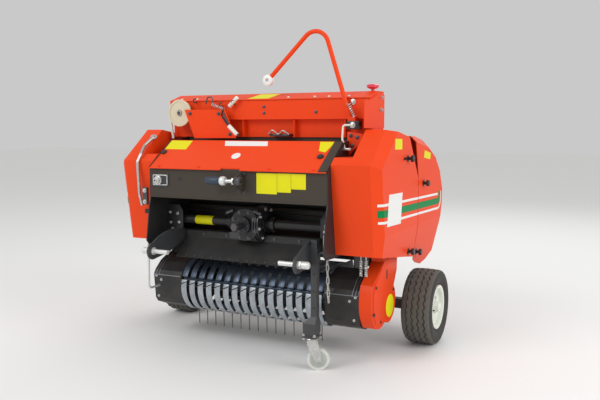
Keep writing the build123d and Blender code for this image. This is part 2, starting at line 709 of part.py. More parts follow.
housing_top = [(-318, 190), (-335, 215), (-348, 345), (-333, 368), (-286, 408), (-228, 435)]
inner_side = housing_top + [(-158, 450), (5, 450), (75, 300), (75, 225), (-60, 175), (-250, 162)]
drum_side = housing_top + [(-186, 446), (-175, 380), (60, 330), (60, 215), (-60, 175), (-250, 162)]
ear_side = [(-186, 446), (PICKUP_PIVOT_Y - 30, PICKUP_PIVOT_Z + 18), (PICKUP_PIVOT_Y + 30, PICKUP_PIVOT_Z - 20),
            (-60, 350), (-175, 380)]
with BuildPart() as pickup_side:
    with BuildSketch(Plane.YZ.offset(PICKUP_X)):
        with BuildLine():
            Polyline(*inner_side, close=True)
        make_face()
    extrude(amount=4)
    with BuildSketch(Plane.YZ.offset(PICKUP_X + 4)):
        with BuildLine():
            Polyline(*drum_side, close=True)
        make_face()
    extrude(amount=PICKUP_OUT_X - PICKUP_X - 4)
    with BuildSketch(Plane.YZ.offset(PICKUP_OUT_X - 8)):
        with BuildLine():
            Polyline(*ear_side, close=True)
        make_face()
        with Locations((PICKUP_PIVOT_Y, PICKUP_PIVOT_Z)):
            Circle(PICKUP_EAR_R)
    extrude(amount=8)
    with BuildSketch(across(PICKUP_PIVOT_Y, PICKUP_PIVOT_Z, PICKUP_OUT_X - 8)):
        Circle(PICKUP_PIN_R + RUN_FIT)
    extrude(amount=8, mode=Mode.SUBTRACT)
    with BuildSketch(across(REEL_Y, REEL_Z, PICKUP_X)):
        Circle(REEL_SHAFT_R + RUN_FIT)
    extrude(amount=40, mode=Mode.SUBTRACT)
save_pair(pickup_side.part, "pickup_side")

with BuildPart() as pickup_pivots:
    with BuildSketch(across(PICKUP_PIVOT_Y, PICKUP_PIVOT_Z, PLATE_OUT_X)):
        Circle(PICKUP_PIN_R)
    extrude(amount=PICKUP_OUT_X + 4 - PLATE_OUT_X)
    with BuildSketch(across(PICKUP_PIVOT_Y, PICKUP_PIVOT_Z, PLATE_OUT_X)):
        Circle(PICKUP_PIN_R + 20)
    extrude(amount=16)
    mirror(about=Plane.YZ)
save(pickup_pivots.part, "pickup_pivots")

with BuildPart() as chain_case:
    with BuildSketch(Plane.YZ.offset(PICKUP_OUT_X + 6)):
        with BuildLine():
            Polyline((-199, 556), (-199, 491), (-340, 400))
            ThreePointArc((-340, 400), (-362, 300), (-310, 190))
            ThreePointArc((-310, 190), (-240, 172), (-170, 190))
            ThreePointArc((-170, 190), (-20, 240), (-45, 347))
            Polyline((-45, 347), (0, 420), (10, 556), (-199, 556))
        make_face()
    extrude(amount=CASE_T)
    with BuildSketch(Plane.YZ.offset(PICKUP_OUT_X + 6 + CASE_T)):
        with Locations((-112, 258)):
            Circle(66)
    extrude(amount=4)
    with BuildSketch(Plane.YZ.offset(PICKUP_OUT_X + 6 + CASE_T)):
        with Locations((-158, 425)):
            SlotOverall(48, 20, rotation=70)
    extrude(amount=-6, mode=Mode.SUBTRACT)
    with BuildSketch(Plane.YZ.offset(PICKUP_OUT_X)):
        with Locations((REEL_Y, REEL_Z)):
            Circle(30)
    extrude(amount=6)
save(chain_case.part, "chain_case")

# Tine reel
with BuildPart() as reel:
    with BuildSketch(across(REEL_Y, REEL_Z, -PICKUP_X - 25)):
        Circle(REEL_SHAFT_R)
    extrude(amount=2 * (PICKUP_X + 25))
    with BuildSketch(across(REEL_Y, REEL_Z, PICKUP_X - 9)):
        Circle(BAR_RING_R + BAR_R + 2)
    extrude(amount=6)
    mirror(about=Plane.YZ)
    for bar_angle in BAR_ANGLES:
        bar_y, bar_z = ring_point(BAR_RING_R, bar_angle, REEL)
        tip_y, tip_z = ring_point(TIP_R - TINE_R, bar_angle + TINE_RAKE, REEL)
        tine_length = ((tip_y - bar_y) ** 2 + (tip_z - bar_z) ** 2) ** 0.5
        with BuildSketch(across(bar_y, bar_z, -PICKUP_X + 9)):
            Circle(BAR_R)
        extrude(amount=2 * (PICKUP_X - 9))
        for column in range(BAND_COUNT - 1):
            tine_x = band_x(column) + BAND_PITCH / 2
            with BuildSketch(Plane(origin=(tine_x, bar_y, bar_z), x_dir=(1, 0, 0), z_dir=(0, tip_y - bar_y, tip_z - bar_z))):
                Circle(TINE_R)
            extrude(amount=tine_length)
save(reel.part, "tine_reel")

# Parking stand: a square leg in a sleeve on the right hitch arm
LEG_X = HITCH_ARM_X + HITCH_ARM_T + SLEEVE_T + SLEEVE_GAP + LEG_W / 2
with BuildPart() as stand_leg:
    with Locations((LEG_X, LEG_Y, (LEG_TOP_Z + 170) / 2)):
        Box(LEG_W, LEG_W, LEG_TOP_Z - 170)
    with BuildSketch(Plane.XY.offset(168)):
        with Locations((FOOT_X, LEG_Y)):
            Rectangle(62, 62)
    with BuildSketch(Plane.XY.offset(226)):
        with Locations((FOOT_X, LEG_Y)):
            Rectangle(62, 62)
    loft()
    with BuildSketch(Plane.XY.offset(226)):
        with Locations((FOOT_X, LEG_Y)):
            Rectangle(62, 62)
    with BuildSketch(Plane.XY.offset(258)):
        with Locations((LEG_X, LEG_Y)):
            Rectangle(LEG_W, LEG_W)
    loft()
    with Locations((FOOT_X, LEG_Y, FOOT_PLATE_Z + 5)):
        Box(FOOT_PLATE_W, FOOT_PLATE_W, 10)
save(stand_leg.part, "stand_leg")

with BuildPart() as stand_sleeve:
    with BuildSketch(Plane.XY.offset(SLEEVE_Z[0])):
        with Locations((LEG_X, LEG_Y)):
            Rectangle(LEG_W + 2 * (SLEEVE_GAP + SLEEVE_T), LEG_W + 2 * (SLEEVE_GAP + SLEEVE_T))
            Rectangle(LEG_W + 2 * SLEEVE_GAP, LEG_W + 2 * SLEEVE_GAP, mode=Mode.SUBTRACT)
    extrude(amount=SLEEVE_Z[1] - SLEEVE_Z[0])
    with BuildSketch(across(LEG_Y, sum(SLEEVE_Z) / 2, LEG_X + LEG_W / 2 + 0.3)):
        Circle(6)
    extrude(amount=34)
save(stand_sleeve.part, "stand_sleeve")

trail_x = CASTER_TRAIL * cos(radians(CASTER_TURN))
trail_y = CASTER_TRAIL * sin(radians(CASTER_TURN))
WHEEL_AT = (FOOT_X + trail_x, LEG_Y + trail_y, CASTER_R)
caster_plane = Plane(origin=WHEEL_AT, x_dir=(cos(radians(CASTER_TURN)), sin(radians(CASTER_TURN)), 0),
                     z_dir=(sin(radians(CASTER_TURN)), -cos(radians(CASTER_TURN)), 0))
with BuildPart() as caster_fork:
    for side in (-1, 1):
        with BuildSketch(caster_plane.offset(side * (CASTER_W / 2 + 5.5))):
            with BuildLine():
                Polyline((-14, -12), (14, -12), (16, 12), (-4, 92), (-56, 92), (-52, 70), close=True)
            make_face()
            Circle(6, mode=Mode.SUBTRACT)
        extrude(amount=1.5, both=True)
    with BuildSketch(Plane(origin=(FOOT_X, LEG_Y, CASTER_R + 88), x_dir=caster_plane.x_dir, z_dir=(0, 0, 1))):
        Rectangle(52, CASTER_W + 14)
    extrude(amount=4)
    with BuildSketch(Plane.XY.offset(CASTER_R + 92)):
        with Locations((FOOT_X, LEG_Y)):
            Circle(22)
    extrude(amount=FOOT_PLATE_Z - CASTER_R - 92 - 0.3)
save(caster_fork.part, "caster_fork")

with BuildPart() as caster_wheel:
    with BuildSketch(caster_plane.offset(-CASTER_W / 2)):
        Circle(CASTER_R)
    extrude(amount=CASTER_W)
    with BuildSketch(caster_plane.offset(-CASTER_W / 2 - 7)):
        Circle(6 - RUN_FIT)
    extrude(amount=CASTER_W + 14)
save(caster_wheel.part, "caster_wheel")



def mirrored(point):
    """Point on the other side of the machine."""
    return (-point[0], point[1], point[2])


# Lift chains of the pickup, the one on the -X side with a bent rod under it
chain_runs = (
    (CHAIN_TOP, CHAIN_LOW, LINK_COUNT),
    (mirrored(ROD_CHAIN_TOP), mirrored(ROD_CHAIN_LOW), ROD_LINK_COUNT),
)
with BuildPart() as chains:
    for top, low, count in chain_runs:
        run = Vector(*low) - Vector(*top)
        pitch = run.length / count
        for index in range(count):
            flat = Vector(1, 0, 0) if index % 2 else run.cross(Vector(1, 0, 0))
            with BuildSketch(Plane(origin=Vector(*top) + run * ((index + 0.5) / count), x_dir=run, z_dir=flat)):
                SlotOverall(pitch + 2 * LINK_WIRE - 1, LINK_W)
                SlotOverall(pitch - 1, LINK_W - 2 * LINK_WIRE, mode=Mode.SUBTRACT)
            extrude(amount=LINK_WIRE / 2, both=True)
    with BuildLine() as rod_path:
        FilletPolyline(*[mirrored(point) for point in ROD_POINTS], radius=25)
    with BuildSketch(Plane(origin=rod_path.line @ 0, z_dir=rod_path.line % 0)):
        Circle(ROD_R)
    sweep()
save(chains.part, "lift_chains")
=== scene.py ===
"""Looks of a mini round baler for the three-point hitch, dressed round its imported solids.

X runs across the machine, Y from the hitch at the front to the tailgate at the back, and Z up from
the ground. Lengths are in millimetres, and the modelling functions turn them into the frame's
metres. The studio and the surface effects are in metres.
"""
import logging
from dataclasses import dataclass
from enum import Enum
from fnmatch import fnmatch
from functools import cache
from math import cos, pi, radians, sin
from typing import Iterable, Mapping, Sequence

import bpy
from mathutils import Matrix, Vector

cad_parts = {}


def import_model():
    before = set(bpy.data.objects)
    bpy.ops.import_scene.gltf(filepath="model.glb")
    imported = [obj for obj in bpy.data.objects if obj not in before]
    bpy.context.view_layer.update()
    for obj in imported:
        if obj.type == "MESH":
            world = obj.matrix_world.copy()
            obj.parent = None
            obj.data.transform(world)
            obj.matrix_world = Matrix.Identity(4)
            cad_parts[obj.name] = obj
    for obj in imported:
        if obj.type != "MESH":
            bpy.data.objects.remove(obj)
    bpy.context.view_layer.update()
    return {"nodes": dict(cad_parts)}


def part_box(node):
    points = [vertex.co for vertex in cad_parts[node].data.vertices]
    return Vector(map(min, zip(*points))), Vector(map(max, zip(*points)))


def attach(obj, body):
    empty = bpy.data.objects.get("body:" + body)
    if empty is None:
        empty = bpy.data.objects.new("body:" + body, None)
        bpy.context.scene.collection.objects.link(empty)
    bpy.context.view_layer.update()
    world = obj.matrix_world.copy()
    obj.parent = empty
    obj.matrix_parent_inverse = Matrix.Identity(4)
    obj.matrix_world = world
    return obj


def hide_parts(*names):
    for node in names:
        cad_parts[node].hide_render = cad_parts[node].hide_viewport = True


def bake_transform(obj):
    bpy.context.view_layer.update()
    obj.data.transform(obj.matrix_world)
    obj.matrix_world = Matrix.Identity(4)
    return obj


LOG = logging.getLogger("round_baler")

Flat = tuple[float, float]
Place = Sequence[float]
Colour = tuple[float, float, float]
Piece = bpy.types.Object
Socket = bpy.types.NodeSocket
Tree = bpy.types.NodeTree
Outputs = bpy.types.NodeOutputs
Inputs = Mapping[str | int, Socket | float | Place]

FRONT, BACK, RIGHT, UP, DOWN = (0, -1, 0), (0, 1, 0), (1, 0, 0), (0, 0, 1), (0, 0, -1)
SHARP = radians(35)
SHARP_ON_RODS = radians(50)
MERGED_WITHIN = 1e-5
BEND_STEPS = 6
COIL_STEPS = 10
LONGEST_BEND = 0.49
LEAST_COSINE = 1e-3
FILM = 0.8
WASHER = 2.0
WASHER_REACH = 1.45
CORE = 0.5


class Facing(Enum):
    """Axis that a flat outline faces along."""

    X = 0
    Y = 1
    Z = 2

    def place(self, at: Flat, depth: float) -> list[float]:
        """Give the point of an outline at a depth along the axis."""
        values = list(at)
        values.insert(self.value, depth)
        return values


class Side(Enum):
    """Side of the machine, with the sign of its X values."""

    LEFT = -1
    RIGHT = 1

    def __str__(self) -> str:
        """Give the side's name as it ends a node's name."""
        return self.name.lower()


# Modelling


def metres(at: Place) -> Vector:
    """Turn a place in millimetres into metres."""
    return Vector([value / 1000 for value in at])


def arc(centre: Flat, radius: float, turns: Iterable[float]) -> list[Flat]:
    """Give points round a centre, each at a turn in radians."""
    return [(centre[0] + radius * cos(turn), centre[1] + radius * sin(turn)) for turn in turns]


def rectangle(low: Flat, high: Flat) -> list[Flat]:
    """Give the four corners of a rectangle."""
    return [low, (high[0], low[1]), high, (low[0], high[1])]


def clear_selection() -> None:
    """Leave edit mode and deselect everything."""
    active = bpy.context.view_layer.objects.active
    if active is not None and active.mode != "OBJECT":
        bpy.ops.object.mode_set(mode="OBJECT")
    bpy.ops.object.select_all(action="DESELECT")


def activate(*pieces: Piece) -> None:
    """Select pieces and nothing else, and make the first one active."""
    clear_selection()
    for piece in pieces:
        piece.select_set(True)
    bpy.context.view_layer.objects.active = pieces[0]


def settle(piece: Piece, name: str) -> Piece:
    """Name a piece and put its place into its mesh."""
    activate(piece)
    bpy.ops.object.transform_apply(location=True, rotation=True, scale=True)
    piece.name = name
    piece.data.name = name
    return piece


def soften(piece: Piece, width: float) -> Piece:
    """Round a piece's sharp edges with a bevel of a width."""
    activate(piece)
    bevel = piece.modifiers.new("edges", "BEVEL")
    bevel.width = width / 1000
    bevel.segments = 2
    bevel.limit_method = "ANGLE"
    bevel.angle_limit = SHARP
    bpy.ops.object.modifier_apply(modifier=bevel.name)
    bpy.ops.object.shade_smooth_by_angle(angle=SHARP)
    return piece


def close_shell(piece: Piece) -> None:
    """Merge a mesh's doubles and turn its faces outwards."""
    activate(piece)
    bpy.ops.object.mode_set(mode="EDIT")
    bpy.ops.mesh.select_all(action="SELECT")
    bpy.ops.mesh.remove_doubles(threshold=MERGED_WITHIN)
    bpy.ops.mesh.delete_loose()
    bpy.ops.mesh.select_all(action="SELECT")
    bpy.ops.mesh.normals_make_consistent(inside=False)
    bpy.ops.object.mode_set(mode="OBJECT")


def joined(name: str, pieces: Sequence[Piece]) -> Piece:
    """Join pieces into one mesh."""
    activate(*pieces)
    bpy.ops.object.join()
    return settle(pieces[0], name)


def row(name: str, piece: Piece, count: int, pitch: float) -> Piece:
    """Join a piece with copies of it that follow it along X, a pitch apart, as one mesh."""
    made = [piece]
    for index in range(1, count):
        activate(piece)
        bpy.ops.object.duplicate()
        copy = bpy.context.object
        copy.matrix_world = Matrix.Translation(metres((pitch * index, 0, 0))) @ copy.matrix_world
        made.append(copy)
    return joined(name, made)


def outlined(corners: Sequence[Vector], filling: str) -> Piece:
    """Draw an outline in metres and leave it selected in edit mode."""
    clear_selection()
    bpy.ops.mesh.primitive_circle_add(vertices=len(corners), fill_type=filling)
    piece = bpy.context.object
    for vertex, at in zip(piece.data.vertices, corners):
        vertex.co = at
    bpy.ops.object.mode_set(mode="EDIT")
    bpy.ops.mesh.select_all(action="SELECT")
    return piece


def extruded(name: str, corners: Sequence[Vector], push: Vector, bevel: float = 0.0) -> Piece:
    """Extrude a flat face.

    Args:
        name: Name of the piece.
        corners: Corners of the face, in metres.
        push: Way to the opposite face, in metres.
        bevel: Width of its rounded edges.

    Returns:
        The closed piece.
    """
    piece = outlined(corners, "NGON")
    bpy.ops.mesh.extrude_region_move(TRANSFORM_OT_translate={"value": push})
    bpy.ops.mesh.select_all(action="SELECT")
    bpy.ops.mesh.normals_make_consistent(inside=False)
    bpy.ops.object.mode_set(mode="OBJECT")
    settle(piece, name)
    return soften(piece, bevel) if bevel else piece


def prism(name: str, outline: Sequence[Flat], facing: Facing, low: float, high: float,
          bevel: float = 0.0) -> Piece:
    """Extrude an outline in the two other axes along its own axis, from low to high."""
    corners = [metres(facing.place(at, low)) for at in outline]
    return extruded(name, corners, metres(facing.place((0, 0), high - low)), bevel)


def plate(name: str, corners: Sequence[Place], thickness: float) -> Piece:
    """Make a flat plate on any plane from its back face, anticlockwise as seen from the front."""
    points = [metres(corner) for corner in corners]
    normal = (points[1] - points[0]).cross(points[2] - points[1]).normalized()
    return extruded(name, points, normal * thickness / 1000)


def slab(name: str, low: Place, high: Place, bevel: float) -> Piece:
    """Make a box with rounded edges between two corners."""
    return prism(name, rectangle(low[:2], high[:2]), Facing.Z, low[2], high[2], bevel)


def drum(name: str, start: Place, end: Place, radius: float, sides: int = 24,
         bevel: float = 1.0) -> Piece:
    """Make a cylinder between two points."""
    first, last = metres(start), metres(end)
    turn = (last - first).to_track_quat("Z", "Y").to_euler()
    clear_selection()
    bpy.ops.mesh.primitive_cylinder_add(vertices=sides, radius=radius / 1000, depth=(last - first).length,
                                        location=(first + last) / 2, rotation=turn)
    return soften(settle(bpy.context.object, name), bevel)


def turned(name: str, profile: Sequence[Flat], centre: Place, axis: Place, steps: int = 28) -> Piece:
    """Spin a closed profile round an axis.

    Args:
        name: Name of the piece.
        profile: Corners as (radius, place along the axis).
        centre: Point on the axis that the places count from.
        axis: Direction of the axis.
        steps: Number of faces round the axis.

    Returns:
        The closed piece.
    """
    along = Vector(axis).normalized()
    outwards = along.orthogonal().normalized()
    middle = metres(centre)
    corners = [middle + outwards * (radius / 1000) + along * (place / 1000) for radius, place in profile]
    piece = outlined(corners, "NOTHING")
    bpy.ops.mesh.spin(steps=steps, angle=2 * pi, center=middle, axis=along)
    bpy.ops.object.mode_set(mode="OBJECT")
    close_shell(piece)
    settle(piece, name)
    bpy.ops.object.shade_smooth_by_angle(angle=SHARP)
    return piece


def rounded_route(points: Sequence[Vector], radius: float) -> list[Vector]:
    """Round the corners of a route with arcs, all in metres."""
    route = [points[0]]
    for before, corner, after in zip(points, points[1:], points[2:]):
        back = (before - corner).normalized()
        ahead = (after - corner).normalized()
        turn = pi - back.angle(ahead)
        reach = min(radius * abs(sin(turn / 2) / max(cos(turn / 2), LEAST_COSINE)),
                    LONGEST_BEND * (before - corner).length, LONGEST_BEND * (after - corner).length)
        start, end = corner + back * reach, corner + ahead * reach
        for step in range(BEND_STEPS + 1):
            share = step / BEND_STEPS
            route.append(start * (1 - share) ** 2 + corner * (2 * share * (1 - share)) + end * share ** 2)
    return [*route, points[-1]]


def wire(name: str, points: Sequence[Vector], radius: float, bend: float, sides: int) -> Piece:
    """Make a round bar or wire along a route.

    Args:
        name: Name of the piece.
        points: Corners of the route, in metres.
        radius: Radius of the bar.
        bend: Radius of the route's rounded corners.
        sides: Resolution of the bar's section.

    Returns:
        The bar as a mesh.
    """
    route = rounded_route(points, bend / 1000)
    clear_selection()
    bpy.ops.curve.primitive_nurbs_path_add()
    curve = bpy.context.object.data
    curve.splines.clear()
    spline = curve.splines.new("POLY")
    spline.points.add(len(route) - 1)
    for point, at in zip(spline.points, route):
        point.co = (*at, 1)
    curve.dimensions = "3D"
    curve.bevel_depth = radius / 1000
    curve.bevel_resolution = sides
    curve.use_fill_caps = True
    bpy.ops.object.convert(target="MESH")
    piece = bpy.context.object
    close_shell(piece)
    settle(piece, name)
    bpy.ops.object.shade_smooth_by_angle(angle=SHARP_ON_RODS)
    return piece


def rod(name: str, corners: Sequence[Place], radius: float, bend: float = 20.0) -> Piece:
    """Make a round bar with rounded corners."""
    return wire(name, [metres(corner) for corner in corners], radius, bend, sides=3)


def coil(name: str, start: Place, end: Place, radius: float, thickness: float, turns: int) -> Piece:
    """Make a coil spring between two points from a wire with a radius for its thickness."""
    first, last = metres(start), metres(end)
    along = (last - first).normalized()
    side = along.orthogonal().normalized()
    other = along.cross(side)
    steps = turns * COIL_STEPS
    route = []
    for step in range(steps + 1):
        turn = 2 * pi * step / COIL_STEPS
        arm = (side * cos(turn) + other * sin(turn)) * (radius / 1000)
        route.append(first + (last - first) * (step / steps) + arm)
    return wire(name, route, thickness, bend=0.1, sides=1)


def heads(name: str, places: Iterable[Place], direction: Place, across: float = 9.0,
              height: float = 7.0, washer: float = WASHER) -> Piece:
    """Make a row of hexagon heads on washers as one mesh.

    Args:
        name: Name of the piece.
        places: Points on the surface that the heads sit on.
        direction: Way that the heads stand out.
        across: Radius of a head's corners.
        height: Height of a head.
        washer: Height of its washer, or 0 for none.

    Returns:
        The joined heads.
    """
    outwards = Vector(direction).normalized()
    made = []
    for foot in map(Vector, places):
        seat = foot + outwards * washer
        if washer:
            made.append(drum("washer", foot, seat, across * WASHER_REACH, 16, 0.4))
        made.append(drum("head", seat, foot + outwards * (washer + height), across, 6))
    return joined(name, made)


# Finishes


def fill(node: bpy.types.Node, inputs: Inputs) -> None:
    """Link a node's inputs to sockets and set the others to values."""
    for name, value in inputs.items():
        if isinstance(value, Socket):
            node.id_data.links.new(value, node.inputs[name])
        else:
            node.inputs[name].default_value = value


def wired(tree: Tree, kind: str, inputs: Inputs, **settings: str | Tree) -> Outputs:
    """Add a node to a tree.

    Args:
        tree: Tree that the node goes into.
        kind: Kind of shader node.
        inputs: Sockets to link or values to set, by the name or number of the input.
        **settings: The node's own settings.

    Returns:
        The node's outputs.
    """
    node = tree.nodes.new(f"ShaderNode{kind}")
    for name, value in settings.items():
        setattr(node, name, value)
    fill(node, inputs)
    return node.outputs


def tone(tree: Tree, given: Outputs) -> Socket:
    """Make slow, cloudy changes of shade round 1."""
    noise = wired(tree, "TexNoise", {"Vector": given["Vector"], "Scale": given["Scale"], "Detail": 4})
    centred = wired(tree, "Math", {0: noise["Fac"], 1: 0.5}, operation="SUBTRACT")
    return wired(tree, "Math", {0: centred[0], 1: given["Spread"], 2: 1}, operation="MULTIPLY_ADD")[0]


def dust(tree: Tree, given: Outputs) -> Socket:
    """Make a mask of dust that thickens towards the ground and lies in patches."""
    split = wired(tree, "SeparateXYZ", {0: given["Vector"]})
    height = wired(tree, "MapRange", {"Value": split["Z"], "From Min": 0, "From Max": given["Top"],
                                      "To Min": 1, "To Max": 0.12})
    noise = wired(tree, "TexNoise", {"Vector": given["Vector"], "Scale": 11, "Detail": 7})
    patches = wired(tree, "MapRange", {"Value": noise["Fac"], "From Min": 0.35, "From Max": 0.75})
    both = wired(tree, "Math", {0: height[0], 1: patches[0]}, operation="MULTIPLY")
    return wired(tree, "Math", {0: both[0], 1: given["Amount"]}, operation="MULTIPLY")[0]


def peel(tree: Tree, given: Outputs) -> Socket:
    """Make a fine relief that can be stretched into a brushed grain."""
    stretched = wired(tree, "VectorMath", {0: given["Vector"], 1: given["Stretch"]}, operation="MULTIPLY")
    return wired(tree, "TexNoise", {"Vector": stretched[0], "Scale": given["Scale"], "Detail": 3})["Fac"]


class Effect(Enum):
    """Shader effects that the finishes share: name, maker, inputs and output."""

    TONE = ("tone_drift", tone, {"Scale": 6, "Spread": 0.1}, "Shade")
    DUST = ("field_dust", dust, {"Top": 0.6, "Amount": 0.3}, "Mask")
    PEEL = ("surface_relief", peel, {"Scale": 300, "Stretch": (1, 1, 1)}, "Height")

    @cache
    def group(self) -> Tree:
        """Give the effect's node group, made once."""
        name, maker, values, output = self.value
        tree = bpy.data.node_groups.new(name, "ShaderNodeTree")
        for entry, value in {"Vector": (0, 0, 0), **values}.items():
            kind = "NodeSocketVector" if isinstance(value, tuple) else "NodeSocketFloat"
            tree.interface.new_socket(name=entry, in_out="INPUT", socket_type=kind).default_value = value
        tree.interface.new_socket(name=output, in_out="OUTPUT", socket_type="NodeSocketFloat")
        made = maker(tree, tree.nodes.new("NodeGroupInput").outputs)
        fill(tree.nodes.new("NodeGroupOutput"), {output: made})
        return tree

    def place(self, tree: Tree, **inputs: Socket | float | Place) -> Socket:
        """Place the effect in a material's tree and give its output."""
        return wired(tree, "Group", inputs, node_tree=self.group())[0]


@dataclass(frozen=True)
class Finish:
    """One surface finish and the record's slot that it belongs to."""

    name: str
    slot: str
    colour: Colour
    roughness: float
    metallic: float = 0.0
    coat: float = 0.0
    gloss: float = 0.5
    spread: float = 0.12
    cloud: float = 5.0
    relief: float = 260.0
    relief_depth: float = 0.0004
    stretch: Place = (1.0, 1.0, 1.0)
    dust: float = 0.2
    dust_top: float = 0.7
    dust_colour: Colour = (0.34, 0.28, 0.2)

    @cache
    def material(self) -> bpy.types.Material:
        """Give the finish's material, made once."""
        material = bpy.data.materials.new(self.name)
        material.use_nodes = True
        tree = material.node_tree
        where = wired(tree, "TexCoord", {})["Object"]
        shade = Effect.TONE.place(tree, Vector=where, Scale=self.cloud, Spread=self.spread)
        mask = Effect.DUST.place(tree, Vector=where, Top=self.dust_top, Amount=self.dust)
        height = Effect.PEEL.place(tree, Vector=where, Scale=self.relief, Stretch=self.stretch)
        shaded = wired(tree, "VectorMath", {0: self.colour, "Scale": shade}, operation="SCALE")
        dusty = wired(tree, "Mix", {"Factor": mask, "A": shaded["Vector"], "B": (*self.dust_colour, 1)},
                      data_type="RGBA")
        rough = wired(tree, "Math", {0: shade, 1: self.roughness, 2: mask}, operation="MULTIPLY_ADD")
        bump = wired(tree, "Bump", {"Strength": 0.5, "Distance": self.relief_depth, "Height": height})
        fill(tree.nodes["Principled BSDF"], {
            "Metallic": self.metallic, "Specular IOR Level": self.gloss, "Coat Weight": self.coat,
            "Coat Roughness": 0.25, "Base Color": dusty["Result"], "Roughness": rough[0],
            "Normal": bump["Normal"]})
        return material

    def cover(self, piece: Piece) -> None:
        """Cover a whole piece with the finish."""
        piece.data.materials.clear()
        piece.data.materials.append(self.material())

    def fit(self, piece: Piece, body: str = "frame") -> None:
        """Cover a new piece with the finish and let it ride on a body."""
        self.cover(piece)
        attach(piece, body)
        LOG.info("%s rides on %s in %s", piece.name, body, self.name)


RED = Finish("red_paint", "red_paint", (0.83, 0.060, 0.007), 0.42, coat=0.04, gloss=0.16, spread=0.08,
             dust=0.04)
BLACK = Finish("black_paint", "black_paint", (0.020, 0.020, 0.021), 0.42, gloss=0.4, spread=0.3, dust=0.14)
PANEL = Finish("panel_paint", "grey_paint", (0.055, 0.044, 0.034), 0.45, gloss=0.25, spread=0.2, dust=0.05)
GREY = Finish("grey_paint", "grey_paint", (0.045, 0.048, 0.052), 0.40, gloss=0.4, spread=0.2, dust=0.1)
ZINC = Finish("galvanised", "galvanised", (0.62, 0.62, 0.60), 0.34, metallic=0.9, spread=0.5, cloud=60,
              dust=0.15)
CHAIN = Finish("bright_zinc", "galvanised", (0.74, 0.75, 0.73), 0.38, metallic=0.45, spread=0.3, cloud=70,
               dust=0.05)
BAND = Finish("band_steel", "steel", (0.27, 0.29, 0.32), 0.36, metallic=0.75, spread=0.5, cloud=18,
              relief=90, stretch=(6, 1, 1), dust=0.25)
# Lit and shaded copies of the band steel: the lighter one paints light on the bands' lower arcs, the darker
# bluish one paints shade and reflection on their upper arcs.
BAND_PAINTED_LIT = Finish("band_bright", "steel", (0.40, 0.44, 0.48), 0.40, metallic=0.55, spread=0.9, cloud=26,
                  relief=60, relief_depth=0.0008, stretch=(1, 5, 5), dust=0.12)
BAND_PAINTED_SHADE = Finish("band_blue", "steel", (0.085, 0.115, 0.165), 0.38, metallic=0.6, spread=1.0, cloud=24,
                   relief=60, relief_depth=0.0008, stretch=(1, 5, 5), dust=0.1)
SLATE = Finish("slate_paint", "steel", (0.035, 0.055, 0.085), 0.40, metallic=0.3, spread=0.5, cloud=30,
               dust=0.1)
STEEL = Finish("dark_steel", "steel", (0.10, 0.10, 0.11), 0.38, metallic=0.8, spread=0.6, cloud=30,
               dust=0.3)
CREAM = Finish("cream_paint", "cream_paint", (0.78, 0.81, 0.73), 0.40, gloss=0.3, spread=0.08, dust=0.12)
PULLEY = Finish("pulley_nylon", "cream_paint", (0.66, 0.60, 0.44), 0.5, spread=0.15, cloud=14, dust=0.1)
TYRE = Finish("tyre_rubber", "tyre_rubber", (0.034, 0.033, 0.031), 0.72, spread=0.4, cloud=25, relief=500,
              relief_depth=0.0006, dust=0.35, dust_top=0.45, dust_colour=(0.16, 0.145, 0.12))
TREAD = Finish("tyre_tread", "tyre_rubber", (0.118, 0.115, 0.104), 0.85, gloss=0.3, spread=0.5, cloud=40,
               relief=420, relief_depth=0.0008, dust=0.3, dust_top=0.45, dust_colour=(0.20, 0.19, 0.16))
CASTER_GREY = Finish("caster_face", "caster_white", (0.42, 0.45, 0.42), 0.5, spread=0.2, cloud=40, dust=0.2,
                     dust_top=0.2)
CASTER = Finish("caster_nylon", "caster_white", (0.66, 0.68, 0.63), 0.45, spread=0.15, cloud=30, dust=0.25,
                dust_top=0.2)
YELLOW = Finish("yellow_label", "label_yellow", (0.76, 0.72, 0.008), 0.4, gloss=0.2, spread=0.05,
                dust=0.02)
WHITE = Finish("white_label", "label_white", (0.82, 0.82, 0.80), 0.35, spread=0.04, dust=0.03)
GREEN = Finish("green_stripe", "label_green", (0.003, 0.23, 0.065), 0.45, gloss=0.12, spread=0.06,
               dust=0.02)
# Black plastic of the knobs; the same dark finish is also laid in holes and slots as painted shade.
PLASTIC_AND_HOLE_SHADE = Finish("knob_plastic", "knob_black", (0.018, 0.018, 0.019), 0.35, spread=0.2, dust=0.1)
PINK = Finish("knob_pink", "knob_red", (0.70, 0.05, 0.09), 0.3, coat=0.4, spread=0.1, dust=0.03)

NODE_FINISHES: dict[Finish, tuple[str, ...]] = {
    RED: ("chain_case", "cover_*", "gate_bars", "gate_plate_*", "hood", "twine_arm", "twine_box",
          "twine_lid", "twine_plate"),
    BLACK: ("axle", "front_rollers", "gate_rollers", "gearbox", "drive_tubes", "hitch_beam", "intake_sheet",
            "pickup_side_*", "side_plate_*", "wind_guard"),
    PANEL: ("cross_panel", "top_link_bracket"),
    GREY: ("hitch_arm_*", "stand_leg", "stand_sleeve"),
    ZINC: ("top_link_pin", "caster_fork"),
    CHAIN: ("hitch_pins", "lift_chains"),
    BAND: ("pickup_bands",),
    STEEL: ("gate_hinge_pins", "pickup_pivots", "pto_stub", "tine_reel"),
    CREAM: ("rim_*",),
    PULLEY: ("twine_pulley",),
    TYRE: ("tyre_*",),
    CASTER: ("caster_wheel",),
}


def coat_nodes(nodes: dict[str, Piece]) -> None:
    """Give every node of the frame its finish."""
    for finish, patterns in NODE_FINISHES.items():
        for name, piece in nodes.items():
            if any(fnmatch(name, pattern) for pattern in patterns):
                finish.cover(piece)


# Sub-assemblies


class Dress:
    """Sub-assembly whose pieces ride on bodies of the frame."""

    def build(self) -> None:
        """Make the pieces."""
        raise NotImplementedError


